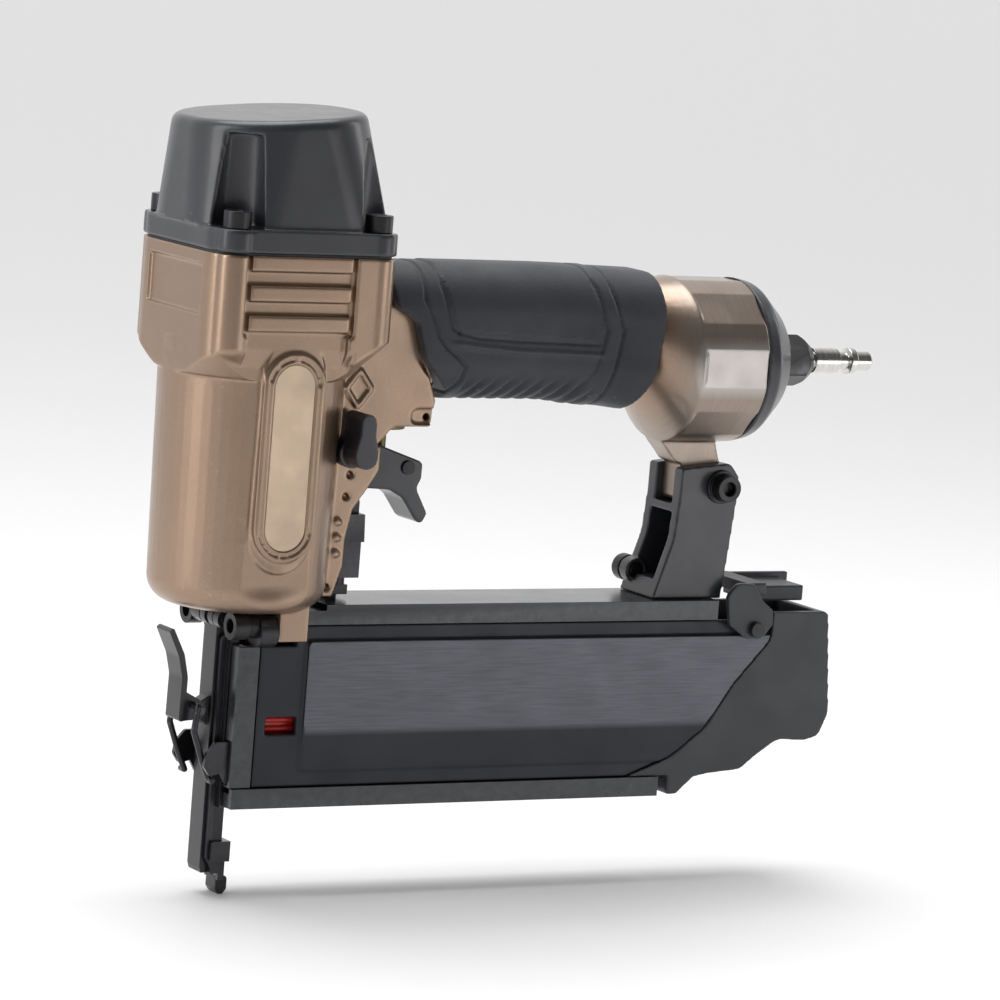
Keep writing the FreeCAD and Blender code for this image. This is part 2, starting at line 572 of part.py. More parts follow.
def make_sleeve():
    """The steel cylinder sleeve with a locating flange near its top."""
    sleeve = Piece("cylinder_sleeve")
    flange = s.chamber_radius - s.fit_gap
    sleeve.turn("Z", (0, 0), [(s.seat_base, s.bore_radius), (s.sleeve_top, s.bore_radius),
                              (s.sleeve_top, s.sleeve_radius), (s.sleeve_top - 8, s.sleeve_radius),
                              (s.sleeve_top - 8, flange), (s.sleeve_top - 12, flange),
                              (s.sleeve_top - 12, s.sleeve_radius), (s.seat_base, s.sleeve_radius)])
    sleeve.turn("Z", (0, 0), [(s.sleeve_top - 11, s.sleeve_radius), (s.sleeve_top - 9, s.sleeve_radius),
                              (s.sleeve_top - 9, flange + 1), (s.sleeve_top - 11, flange + 1)], cut=True)
    for hole in range(8):
        turn = math.radians(45 * hole + 22.5)
        port = sleeve.rod("X", (0, s.chamber_base + 9), (s.bore_radius - 3, s.sleeve_radius + 1), 1.5,
                          cut=True)
        reach = s.bore_radius - 3
        along_x, along_y = reach * math.cos(turn), reach * math.sin(turn)
        sleeve.place(port, along_x, along_y, s.chamber_base + 9,
                     Rotation(Z_AXIS, math.degrees(turn)) * Rotation(Y_AXIS, 90))
    seal = Piece("sleeve_o_ring")
    seal.ring("Z", (0, 0), s.sleeve_top - 10, s.chamber_radius - 0.85, 0.8)


def make_piston():
    """The drive piston with its O-ring and the driver blade that sets the brad."""
    piston = Piece("drive_piston")
    rim = s.bore_radius - s.slide_gap
    piston.turn("Z", (0, 0), [(s.piston_base, 0), (s.piston_base, rim - 3), (s.piston_base + 2, rim),
                              (s.piston_top - 0.5, rim), (s.piston_top, rim - 0.5), (s.piston_top, 12),
                              (s.piston_top - 4, 10), (s.piston_top - 4, 0)])
    middle = (s.piston_base + s.piston_top) / 2 + 0.5
    groove = [(middle - s.ring_wire, rim - 2.4), (middle + s.ring_wire, rim - 2.4),
              (middle + s.ring_wire, rim + 1), (middle - s.ring_wire, rim + 1)]
    piston.turn("Z", (0, 0), groove, cut=True)
    piston.rod("Z", (0, 0), (s.piston_base - 1, s.piston_base + 4), 1.6, cut=True)
    seal = Piece("piston_o_ring")
    seal.ring("Z", (0, 0), middle, s.bore_radius - s.fit_gap - 1.2, 1.2)
    blade = Piece("driver_blade")
    blade.box((-s.blade_x / 2, s.blade_x / 2), (-s.blade_y / 2, s.blade_y / 2), (s.blade_tip, s.piston_base))
    blade.rod("Z", (0, 0), (s.piston_base - 1, s.piston_base + 4), 1.55)
    bumper = Piece("piston_bumper")
    bumper.turn("Z", (0, 0), [(s.seat_base, 4), (s.bumper_top, 4), (s.bumper_top, s.bore_radius - 5),
                              (s.bumper_top - 3, s.bore_radius - 0.1), (s.seat_base, s.bore_radius - 0.1)])


# ---------------------------------------------------------------------------------------------
# Handle, end cap and air plug


def make_grip():
    """The rubber sleeve over the handle core, higher at the back where it meets the drum."""
    grip = Piece("grip_sleeve")
    sections = []
    for level, flare, drop in ((s.grip_front, 0, 0), (100, 0, 0), (124, 0.7, 1.7), (s.grip_rear, 2.3, 3.3)):
        outline = rounded((-s.grip_half - flare, s.grip_half + flare),
                          (s.grip_base - drop, s.grip_top - drop * 0.3), s.grip_corner)
        sections.append((level, outline))
    for first, second in zip(sections[:-1], sections[1:]):
        grip.loft("YZ", [first, second])
    front = [(s.grip_front - 5, s.grip_top + 5), (s.grip_front - 5, 140), (67, 140), (66, 155.8, 3),
             (59.4, 162.3, 6), (54.2, 168, 8), (51, 178.9, 4), (43.2, 184.2, 3), (s.grip_front, 190),
             (s.grip_front, s.grip_top + 5)]
    grip.prism("XZ", [front], (-s.grip_half - 1, s.grip_half + 1), cut=True)
    rear = [(s.grip_rear + 5, 130), (s.grip_rear + 5, 205), (137.2, 205), (s.grip_rear, 184, 14),
            (136.2, 164, 20), (131, 151, 4), (128, 140)]
    grip.prism("XZ", [rear], (-s.grip_half - 4, s.grip_half + 4), cut=True)
    handle_core(grip, s.fit_gap, cut=True)


def make_end_cap():
    """The end cap of the drum: a flat face round the inlet under a bulging exhaust deflector."""
    cap = Piece("rear_end_cap")
    rim = s.drum_radius - 0.2
    cap.turn("X", (0, s.drum_z), [(s.drum_rear + 0.5, 0), (s.drum_rear + 0.5, rim),
                                  (s.end_cap_rear - 9, rim - 0.8, 3),
                                  (s.end_cap_rear - 1, rim - 8, 5), (s.bulge_rear, rim - 13, 2.5),
                                  (s.bulge_rear, 0)])
    cap.box((s.end_cap_rear, s.bulge_rear + 1), (-30, 30), (130, s.bulge_base), cut=True)
    cap.box((s.end_cap_rear - 0.5, s.bulge_rear + 1), (-s.hex_flat - 2, s.hex_flat + 2),
            (s.bulge_base - 1, s.plug_z + s.hex_flat + 2.5), cut=True)
    for number in range(7):
        y = (number - 3) * 5.0
        cap.box((s.end_cap_rear - 3, s.end_cap_rear + 1), (y - 1.3, y + 1.3),
                (s.drum_z - 24.5, s.drum_z - 15), cut=True)
    cap.rod("X", (0, s.drum_z), (s.drum_rear, s.end_cap_rear + 5), 6.1, cut=True)
    gasket = Piece("end_cap_gasket")
    gasket.prism("YZ", [(0, s.drum_z, rim), (0, s.drum_z, s.drum_bore)], (s.drum_rear, s.drum_rear + 0.5))


def hexagon(u, v, flat):
    """A hexagon with two flat sides upright."""
    corners = []
    for number in range(6):
        turn = math.radians(60 * number + 30)
        corners.append((u + flat * (math.cos(turn) / math.cos(math.pi / 6)),
                        v + flat * (math.sin(turn) / math.cos(math.pi / 6))))
    return corners


def make_inlet():
    """The black hex bushing and the plated quick-connect plug screwed into it."""
    bushing = Piece("inlet_bushing")
    bushing.prism("YZ", [hexagon(0, s.plug_z, s.hex_flat)], (s.hex_front, s.hex_rear))
    bushing.turn("X", (0, s.plug_z), [(s.hex_rear - 4, s.hex_flat + 1.3), (s.hex_rear - 4, s.hex_flat + 3),
                                      (s.hex_rear + 1, s.hex_flat + 3),
                                      (s.hex_rear + 1, s.hex_flat - 2.4)], cut=True)
    bushing.rod("X", (0, s.plug_z), (s.hex_front - 13, s.hex_front), 6.0)
    bushing.rod("X", (0, s.plug_z), (s.hex_front - 14, s.hex_rear + 1), 3.2, cut=True)
    plug = Piece("air_plug")
    rear = s.plug_rear
    plug.turn("X", (0, s.plug_z), [(s.hex_rear - 12, 0), (s.hex_rear - 12, 3.15), (s.hex_rear + 0.2, 3.15),
                                   (s.hex_rear + 0.2, 3.3), (s.hex_rear + 2.2, 3.3),
                                   (s.hex_rear + 2.2, s.plug_radius),
                                   (rear - 13, s.plug_radius), (rear - 12.4, 2.9), (rear - 9.4, 2.9),
                                   (rear - 8.6, 4.35, 0.4), (rear - 6.4, 4.35, 0.4), (rear - 5.8, 3.25),
                                   (rear - 0.6, 3.25), (rear, 2.8), (rear, 0)])
    plug.rod("X", (0, s.plug_z), (s.hex_rear - 13, rear + 1), s.plug_bore, cut=True)


# ---------------------------------------------------------------------------------------------
# Trigger group


def make_trigger():
    """The trigger: two side plates joined by the finger pad, with a slot for the idler."""
    trigger = Piece("trigger")
    outline = [(32.6, 137.5, 3.6), (34.8, 142.2, 3), (40, 142, 2), (61.8, 134.6, 2), (61.6, 129.5, 3),
               (60, 126.5, 3), (64.6, 118.5, 1.6), (62.6, 115.2, 1.3), (60.4, 116.6, 1), (55.4, 123.4, 4),
               (50.6, 126, 4), (39.8, 126.6, 2)]
    trigger.prism("XZ", [outline], (-s.trigger_half, s.trigger_half))
    hollow = [(30, 150), (30, 120), (42.2, 120), (42.2, 128.6), (50.9, 128.2), (56.5, 126.4), (59.6, 129),
              (59.6, 150)]
    trigger.prism("XZ", [hollow], (-s.trigger_inner, s.trigger_inner), cut=True)
    trigger.rod("Y", (s.pivot_x, s.pivot_z), (-s.trigger_half - 1, s.trigger_half + 1), s.pin_radius + 0.1,
                cut=True)
    trigger.rod("Y", (s.idler_x, s.idler_z), (-s.trigger_half - 1, s.trigger_half + 1), 1.55, cut=True)
    pivot = Piece("trigger_pivot_pin")
    pivot.rod("Y", (s.pivot_x, s.pivot_z), (-s.web_half + 0.5, s.web_half - 0.5), s.pin_radius)
    pin = Piece("idler_pin")
    pin.rod("Y", (s.idler_x, s.idler_z), (-s.trigger_half - 0.5, s.trigger_half + 0.5), 1.5)
    pin.rod("Y", (s.idler_x, s.idler_z), (-s.trigger_half - 0.8, -s.trigger_half - 0.05), 2.2)
    idler = Piece("trigger_idler")
    arm = [(57.8, 131.4, 1), (57.8, 134.8, 1), (49, 134.2, 2), (39.6, 132.6, 0.6), (39.6, 130.3, 0.6),
           (49, 131.6, 2)]
    idler.prism("XZ", [arm], (-s.idler_half, s.idler_half))
    idler.rod("Y", (s.idler_x, s.idler_z), (-s.idler_half, s.idler_half), 2.7)
    idler.rod("Y", (s.idler_x, s.idler_z), (-s.idler_half - 1, s.idler_half + 1), 1.6, cut=True)


def make_trigger_valve():
    """The trigger valve: body pressed into the web, stem and spring."""
    body = Piece("trigger_valve_body")
    top = s.handle_z - 9
    body.rod("Z", (s.valve_x, 0), (s.web_base - 1.8, s.web_base), s.valve_radius + 1.2)
    body.rod("Z", (s.valve_x, 0), (s.web_base, top), s.valve_radius)
    body.rod("Z", (s.valve_x, 0), (s.web_base - 3, top - 2), 2.6, cut=True)
    stem = Piece("trigger_valve_stem")
    stem.rod("Z", (s.valve_x, 0), (135.9, s.web_base + 6), 1.9)
    stem.rod("Z", (s.valve_x, 0), (s.web_base + 1, s.web_base + 5), 2.45)
    spring = Piece("trigger_valve_spring")
    spring.coil((s.valve_x, 0), (s.web_base + 6.2, top - 2.1), 1.9, 0.4, 6)


def make_selector():
    """The mode selector on the near side: a round hub and a tear-shaped lever that points up."""
    knob = Piece("mode_selector")
    web = s.web_half + 0.3
    knob.rod("Y", (s.knob_x, s.knob_z), (-web - 5, -web), s.knob_radius + 0.9)
    lever = [(s.knob_x - s.knob_radius, s.knob_z - s.knob_radius, s.knob_radius - 0.1),
             (s.knob_x + s.knob_radius, s.knob_z - s.knob_radius, s.knob_radius - 0.1),
             (s.knob_x + s.knob_radius, s.knob_z + 2, 3), (s.knob_x + s.knob_tip, s.knob_z + 7, 3),
             (s.knob_x + s.knob_tip, s.knob_z + s.knob_length + s.knob_tip, s.knob_tip - 0.1),
             (s.knob_x - s.knob_tip, s.knob_z + s.knob_length + s.knob_tip, s.knob_tip - 0.1),
             (s.knob_x - s.knob_tip, s.knob_z + 7, 3), (s.knob_x - s.knob_radius, s.knob_z + 2, 3)]
    knob.prism("XZ", [lever], (-s.knob_face, -web - 2))
    knob.rod("Y", (s.knob_x, s.knob_z), (-web - 1, -s.wall_inner - 0.2), 2.5)


# ---------------------------------------------------------------------------------------------
# Contact arm


def make_contact_arm():
    """The work contact: lower arm with its tip, upper yoke, depth wheel and return spring."""
    lower = Piece("contact_arm_lower")
    low, high = 11.0, 17.3
    lower.box((s.bar_front, s.bar_rear - 0.4), (-7.4, 7.4), (low, high))
    for side in SIDES:
        cheek = [(-2.5, low, 0.8), (s.bar_front + 1, low), (s.bar_front + 1, high), (-2.5, high, 0.8)]
        lower.prism("XZ", [cheek], side_span(side, s.nose_half + 0.3, 7.4))
        lower.box((s.bar_front, s.bar_rear - 0.4), side_span(side, 3.0, 4.4), (4.5, low + 1))
    lower.box((s.bar_front, s.bar_rear), (s.bar_near, s.bar_far), (low, s.run_top))
    lower.box((s.bar_front, s.riser_rear), (s.bar_near, s.bar_far), (s.run_base, s.run_top))
    lower.box((s.riser_front, s.riser_rear), (s.bar_near, s.bar_far), (s.run_base, s.foot_top))
    lower.box((s.riser_front, s.riser_rear), (-2.9, s.bar_far), (s.foot_base, s.foot_top))
    lower.rod("Z", (s.stud_x, 0), (s.foot_base, s.wheel_base + s.wheel_height + 4), s.stud_radius)
    tip = Piece("contact_tip")
    foot = [(s.bar_front, 5.6), (s.bar_front, 1.6), (2.9, 0), (4.6, 0), (5.8, 1.4), (5.8, 5.6, 1)]
    tip.prism("XZ", [foot], (-3.4, 3.4))
    tip.box((s.bar_front - 0.1, s.bar_rear - 0.4), (-4.5, -2.95), (4.4, 5.7), cut=True)
    tip.box((s.bar_front - 0.1, s.bar_rear - 0.4), (2.95, 4.5), (4.4, 5.7), cut=True)
    upper = Piece("contact_arm_upper")
    side_in = s.wheel_radius + 0.35
    for side in SIDES:
        upper.box((34, 41.5), side_span(side, side_in, 7.55), (98.8, 118.5))
    upper.box((34, 41.5), (-7.55, 7.55), (98.8, s.wheel_base - 0.4))
    upper.prism("XZ", [[(32, s.wheel_base + s.wheel_height + 0.4),
                        (42.6, s.wheel_base + s.wheel_height + 0.4),
                        (42.2, 118.5), (32, 118.5)]], (-7.55, 7.55))
    upper.prism("XZ", [[(32, 118), (41.6, 118), (41.6, 122, 2), (40.3, 126, 1), (35.5, 126, 1), (32, 121)]],
                (-4.6, 4.6))
    upper.rod("Z", (s.stud_x, 0), (98, 118), s.stud_radius + 0.3, cut=True)
    wheel = Piece("depth_wheel")
    wheel.rod("Z", (s.stud_x, 0), (s.wheel_base, s.wheel_base + s.wheel_height), s.wheel_radius)
    for number in range(18):
        turn = math.radians(20 * number)
        spot = (s.stud_x + (s.wheel_radius + 0.35) * math.cos(turn), (s.wheel_radius + 0.35) * math.sin(turn))
        wheel.rod("Z", spot, (s.wheel_base - 1, s.wheel_base + s.wheel_height + 1), 0.8, cut=True)
    wheel.rod("Z", (s.stud_x, 0), (s.wheel_base - 1, s.wheel_base + s.wheel_height + 1), s.stud_radius + 0.1,
              cut=True)
    spring = Piece("contact_spring")
    spring.coil((22, (s.bar_near + s.bar_far) / 2), (s.run_top + 0.1, s.rail_roof - 0.1), 1.5, 0.4, 9)


# ---------------------------------------------------------------------------------------------
# Nose, door and latch


def make_nose():
    """The nose: the steel base that guides the driver, its screws, the door and the over-centre latch."""
    base = Piece("nose_base")
    base.box((s.nose_front, s.nose_rear), (-s.nose_half, s.nose_half), (s.nose_base_z, s.ear_z))
    base.box((s.nose_front, s.nose_rear), (-s.upper_half, s.upper_half), (s.upper_base, s.ear_z))
    for side in SIDES:
        base.prism("XZ", [[(s.cheek_front, s.nose_base_z + 5), (s.nose_front + 1, s.nose_base_z),
                           (s.nose_front + 1, 81.5), (s.cheek_front, 81.5, 2)]],
                   side_span(side, s.door_half + 0.3, s.nose_half))
        base.box((-1.2, s.nose_rear), side_span(side, s.upper_half - 1, 8), (s.upper_base - 6, 81.5))
        hook = [(-1.2, 36), (1.4, 36), (1.4, 49), (-5.4, 49, 1.5), (-8.4, 45.5, 1.5), (-9, 41.5, 1.5),
                (-7, s.hook_z + 0.5, 0.5), (-5.4, s.hook_z + 0.6, 0.5), (-3.2, s.hook_z + 1.2)]
        base.prism("XZ", [hook], side_span(side, s.hook_near, s.hook_far))
        base.box((-1.0, 1.4), side_span(side, s.upper_half - 1, s.hook_far), (36, 49))
    base.box((s.nose_front, s.ear_rear), (-9, 9), (83.0, s.barrel_base - 0.2))
    base.box((s.ear_front, s.ear_rear), (-s.ear_y, s.ear_y), (s.ear_z - 4, s.barrel_base - 0.2))
    for side in SIDES:
        base.rod("X", (side * s.ear_y, s.ear_z - 1.5), (s.ear_front, s.ear_rear), s.ear_radius)
    for ys in ((s.door_half + 0.5, 10.2), (-8, -s.door_half - 0.5)):
        base.rod("Y", (s.hinge_x, s.hinge_z), ys, s.knuckle)
        base.box((s.hinge_x, s.ear_front + 1), ys, (s.hinge_z - 1.5, s.barrel_base - 0.2))
    base.rod("Z", (0, 0), (s.barrel_base - 0.3, s.seat_base), s.spigot_radius)
    base.box((s.nose_front - 8, 0), (-s.door_half - 0.5, s.door_half + 0.5), (80, s.hinge_z + 3.6), cut=True)
    base.box((s.nose_front - 1, s.tongue_rear + 0.1), (-s.tongue_half - 0.3, s.tongue_half + 0.3),
             (s.nose_base_z - 1, 84), cut=True)
    base.box((-0.8, 0.8), (-0.8, 0.8), (s.nose_base_z - 1, s.seat_base + 1), cut=True)
    base.box((0, s.nose_rear + 1), (-0.9, 0.9), (s.rail_floor + 1, 85.6), cut=True)
    base.rod("Y", (s.hinge_x, s.hinge_z), (-9, 14), 1.65, cut=True)
    for side in SIDES:
        base.rod("X", (side * s.ear_y, s.ear_z), (s.ear_front - 1, s.ear_rear + 1), s.screw_shank + 0.1,
                 cut=True)
    screws = Piece("nose_screws")
    for side in SIDES:
        cap_screw(screws, "X", (side * s.ear_y, s.ear_z), -0.7, 5.0, 16.5, sign=-1)
        screws.rod("X", (side * s.ear_y, s.ear_z), (-0.7, s.ear_front), s.screw_head - 0.4)
    door = Piece("nose_door")
    door.prism("XZ", [[(s.door_front + 0.6, s.nose_base_z), (s.door_rear, s.nose_base_z),
                       (s.door_rear, s.hinge_z),
                       (s.door_front, s.hinge_z), (s.door_front, s.nose_base_z + 2)]],
               (-s.door_half, s.door_half))
    door.box((s.door_rear - 0.5, s.tongue_rear), (-s.tongue_half, s.tongue_half), (s.nose_base_z + 0.5, 82.5))
    door.rod("Y", (s.hinge_x, s.hinge_z), (-s.door_half, s.door_half), 2.2)
    for side in SIDES:
        door.rod("Y", (s.hinge_x, s.hinge_z), side_span(side, 1.0, s.door_half), s.knuckle)
    door.prism("XZ", [[(s.door_front + 1, 52), (s.door_front + 1, 62.5), (s.latch_x, s.latch_z + 2.2),
                       (s.latch_x, s.latch_z - 2.2)]], (-2.4, 2.4))
    door.rod("Y", (s.latch_x, s.latch_z), (-2.4, 2.4), 2.2)
    door.rod("Y", (s.hinge_x, s.hinge_z), (-5, 5), 1.65, cut=True)
    door.rod("Y", (s.latch_x, s.latch_z), (-5, 5), 1.3, cut=True)
    hinge = Piece("door_hinge_pin")
    hinge.rod("Y", (s.hinge_x, s.hinge_z), (-8.4, 10.4), 1.6)
    lever = Piece("latch_lever")
    blade = [(-19.2, 83.4, 0.6), (-20.6, 82.2, 0.6), (-16.8, 74.5, 6), (-15.2, 68, 6), (-15.4, 54.4, 0.8),
             (-13.4, 54.4, 0.8), (-13.2, 68, 6), (-14.9, 75.2, 6)]
    lever.prism("XZ", [blade], (-4.5, 4.5))
    for side in SIDES:
        cheek = [(-14.4, 54.5, 0.5), (-8, 55, 2.2), (-5.7, 57.5, 2), (-7.6, 60.4, 2), (-10.5, 62, 2),
                 (-14.4, 64, 0.5)]
        lever.prism("XZ", [cheek], side_span(side, 2.8, 4.5))
    lever.rod("Y", (s.latch_x, s.latch_z), (-6, 6), 1.3, cut=True)
    lever.rod("Y", (s.bail_x, s.bail_z), (-6, 6), s.wire + 0.1, cut=True)
    pin = Piece("latch_pin")
    pin.rod("Y", (s.latch_x, s.latch_z), (-4.9, 4.9), 1.2)


def make_bail():
    """The wire bail: a round bar through the lever, a leg each side and a turned-out foot under each hook."""
    bail = Piece("latch_bail")
    bail.rod("Y", (s.bail_x, s.bail_z), (-s.bail_side, s.bail_side), s.wire)
    knees = [(s.bail_x.number, s.bail_z.number), (-11.8, 52.0), (-8.2, 42.5), (-5.6, 36.9)]
    for side in SIDES:
        y = (side * s.bail_side).number
        points = [Vector(x, y, z) for x, z in knees]
        points.append(Vector(knees[-1][0], side * (s.hook_far.number - 0.2), knees[-1][1]))
        for number, (start, finish) in enumerate(zip(points[:-1], points[1:])):
            run = finish - start
            leg = bail.feature("AdditiveCylinder", "leg")
            leg.setExpression("Radius", s.wire.text)
            leg.Height = run.Length
            leg.Placement = Placement(start, Rotation(Z_AXIS, run))
            if number < len(points) - 1:
                joint = bail.feature("AdditiveSphere", "bend")
                joint.setExpression("Radius", s.wire.text)
                joint.Placement = Placement(start, Rotation())


# ---------------------------------------------------------------------------------------------
# Magazine


def make_rail():
    """The fixed magazine rail: a black extrusion open to the near side, with the nail guide in it."""
    rail = Piece("magazine_rail")
    rail.box((s.rail_front, s.rail_rear), (s.rail_far - s.rail_wall, s.rail_far), (s.rail_base, s.rail_top))
    rail.box((s.rail_front, s.roof_rear), (-8.4, s.rail_far), (s.rail_roof, s.rail_top))
    rail.box((19, s.roof_rear), (-s.rail_near, -8), (s.rail_roof, s.rail_top))
    rail.box((19, s.roof_rear), (-s.rail_near, -s.rail_near + s.lip), (s.rail_roof - s.lip_depth, s.rail_top))
    rail.box((s.rail_front, s.rail_rear), (-8.4, s.rail_far), (s.rail_base, s.rail_floor))
    rail.box((-0.2, s.rail_rear), (-s.rail_near, -8.3), (s.rail_base, s.rail_floor))
    rail.box((-0.2, s.rail_rear), (-s.rail_near, -s.rail_near + s.lip),
             (s.rail_base, s.rail_floor + s.lip_depth))
    rail.box((s.rail_front, s.rail_rear), (s.guide_inner, s.guide_outer), (s.rail_floor - 1, s.rail_roof + 1))
    rail.box((s.rail_front - 1, 19), (-20, 20), (s.ear_low, s.rail_top + 1), cut=True)
    rail.box((s.rail_front - 1, 28), (-20, 20), (s.barrel_base - 0.3, s.rail_top + 1), cut=True)
    rail.box((s.riser_front - 0.4, s.riser_rear + 0.4), (s.bar_near - 0.4, s.bar_far + 0.4),
             (s.rail_roof - 1, s.rail_top + 1), cut=True)
    front = Piece("magazine_front_plate")
    front.prism("XY", [[(-0.9, -12.9), (6.4, -12.9), (6.4, -10.6), (2.2, -9.4), (2.2, -8.4), (-0.9, -8.4)]],
                (s.rail_floor + s.lip_depth + 0.2, s.ear_low))
    front.box((-2, 1.7), (-s.hook_far - 0.3, 0), (35.7, 49.3), cut=True)


def s_curve(shift=0):
    """The wavy parting line between the cover and the rear grip, from the top down."""
    return [(191.4 + shift, 90), (191.4 + shift, 79, 8), (178.3 + shift, 64.5, 10), (168.5 + shift, 50, 14),
            (157 + shift, 41, 14), (141.2 + shift, 35)]


def make_cover():
    """The sliding cover between the rails, with its raised panel, window and nail guide."""
    cover = Piece("magazine_cover")
    low, high = s.rail_floor + 2, s.rail_roof - 2
    line = s_curve(-0.25)
    cover.box((s.cover_front, 200), (-s.cover_out, -s.cover_in), (low, high))
    cover.box((s.cover_front, s.inner_rear), (-11.2, -s.tongue_in), (s.rail_floor + 0.4, s.rail_roof - 0.4))
    upper = [(22.8, s.crease_z), (22.8, 80.3, 1.2), (200, 80.3), (200, s.crease_z)]
    cover.prism("XZ", [upper], (-s.panel_face, -s.cover_out + 0.1))
    lower = [(22.8, s.crease_z), (22.8, 39.8, 1.2), (200, 39.8), (200, s.crease_z)]
    cover.prism("XZ", [lower], (-s.panel_face, -s.cover_out + 0.1))
    tilt = cover.prism("YZ", [[(-s.panel_face - 1, s.crease_z), (-s.panel_face, s.crease_z),
                               (-s.cover_out - 0.35, 39.5), (-s.cover_out - 0.35, 38),
                               (-s.panel_face - 1, 38)]],
                       (20, 190), cut=True)
    tilt.Label = "magazine_cover_facet"
    for low, high in ((s.rail_floor + 0.4, 49.2), (59.1, s.rail_roof - 0.4)):
        cover.box((s.cover_front, s.inner_rear), (-s.guide_outer, -s.guide_inner), (low, high))
    for level in (44, 66):
        cover.box((s.cover_front, s.inner_rear), (-s.tongue_in - 0.5, -s.guide_inner - 0.2),
                  (level, level + 1.6))
    cover.box((s.cover_front - 1, 19.2), (-20, 0), (s.ear_low, s.rail_roof + 1), cut=True)
    cover.box((s.window_front, s.window_rear), (-20, -s.tongue_in + 1), (s.window_low, s.window_top),
              cut=True)
    behind = line + [(line[-1][0], 20), (230, 20), (230, 90)]
    cover.prism("XZ", [behind], (-20, -s.cover_in + 0.2), cut=True)
    cover.rod("Y", (s.latch_pin_x, s.latch_pin_z), (-20, -5), 1.85, cut=True)


def make_rear_grip():
    """The hand grip at the back of the sliding cover, with finger scallops underneath."""
    grip = Piece("magazine_rear_grip")
    scallops = [(216, 54, 5), (213, 46.6, 4), (207.7, 45.2, 4), (197.5, 45.8, 6), (189.5, 40.5, 6),
                (184, 36.2, 5),
                (172, 35.2, 6), (166.5, 34.2, 3), (160.5, 28.9, 1), (156.6, 28.6, 1)]
    body = [(212.6, s.grip_top_z, 2)] + scallops + [(156.6, 84.2), (174, 84.2), (174, s.grip_top_z)]
    grip.prism("XZ", [body], (-s.panel_face + 0.3, s.panel_face - 1))
    skin = s_curve()
    grip.prism("XZ", [[(150, 90)] + skin[:-1] + [(150, 38.3)]], (-s.panel_face - 1, -s.tongue_in + 0.3),
               cut=True)
    near = [(212.6, s.grip_top_z, 2)] + scallops + [(156.6, 35)] + skin[::-1][:-1] + [(191.4, s.grip_top_z)]
    grip.prism("XZ", [near], (-s.panel_face, -s.panel_face + 1.2))
    crease = [(-s.panel_face - 1, s.crease_z), (-s.panel_face, s.crease_z), (-s.cover_out - 0.6, 39.5),
              (-s.cover_out - 0.6, 20), (-s.panel_face - 1, 20)]
    grip.prism("YZ", [crease], (130, 220), cut=True)
    grip.box((168.5, 209), (-11.5, 11), (48.5, 95), cut=True)


def make_latch():
    """The magazine latch: a near-side ear on a pin and a thumb pad across the top."""
    latch = Piece("magazine_latch")
    ear = [(173.4, 84, 1), (172, 93.5, 3), (175.5, 97.4, 3), (181.6, 97.2, 3), (185.2, 91.9, 2),
           (189.6, 88.6, 2),
           (190, 84, 1), (186.2, 79.4, 2.5), (180.6, 79.4, 2.5)]
    latch.prism("XZ", [ear], (-16.2, -14.3))
    latch.box((179.5, 187), (-15, 9), (93.5, 97.3))
    latch.box((186, 206), (-8, 9), (90.3, 95.2))
    latch.box((186, 209.5), (7, 9), (90.3, 97.2))
    latch.rod("Y", (s.latch_pin_x, s.latch_pin_z), (-17, -14), 1.85, cut=True)
    pin = Piece("magazine_latch_pin")
    pin.rod("Y", (s.latch_pin_x, s.latch_pin_z), (-17.4, -s.cover_in), 1.75)
    pin.rod("Y", (s.latch_pin_x, s.latch_pin_z), (-18.2, -16.5), 2.5)


def make_pusher():
    """The red pusher that feeds the brads, with the roll spring that draws it forward."""
    pusher = Piece("pusher")
    pusher.box((s.cover_front + 0.6, 30), (-0.8, 0.8), (s.rail_floor + 3, s.rail_roof - 6))
    pusher.box((s.cover_front + 1.5, 34), (-8.2, -s.guide_outer - 0.4), (49.5, 58.8))
    pusher.box((s.cover_front + 1.5, 28), (-s.guide_outer - 0.5, -0.7), (52, 56.8))
    for level in (52.4, 55.2):
        pusher.rod("X", (-8.25, level), (s.cover_front + 1.5, 33), 1.0)
    spring = Piece("pusher_roll_spring")
    spring.rod("Y", (40.5, 54.2), (-s.tongue_in + 0.6, -s.guide_outer - 0.6), 4.6)
    spring.rod("Y", (40.5, 54.2), (-s.tongue_in - 1, -s.guide_outer + 1), 2.6, cut=True)
    hub = Piece("roll_spring_hub")
    hub.rod("Y", (40.5, 54.2), (-s.tongue_in + 0.4, -s.guide_outer - 0.4), 2.5)


# ---------------------------------------------------------------------------------------------
# Support arm


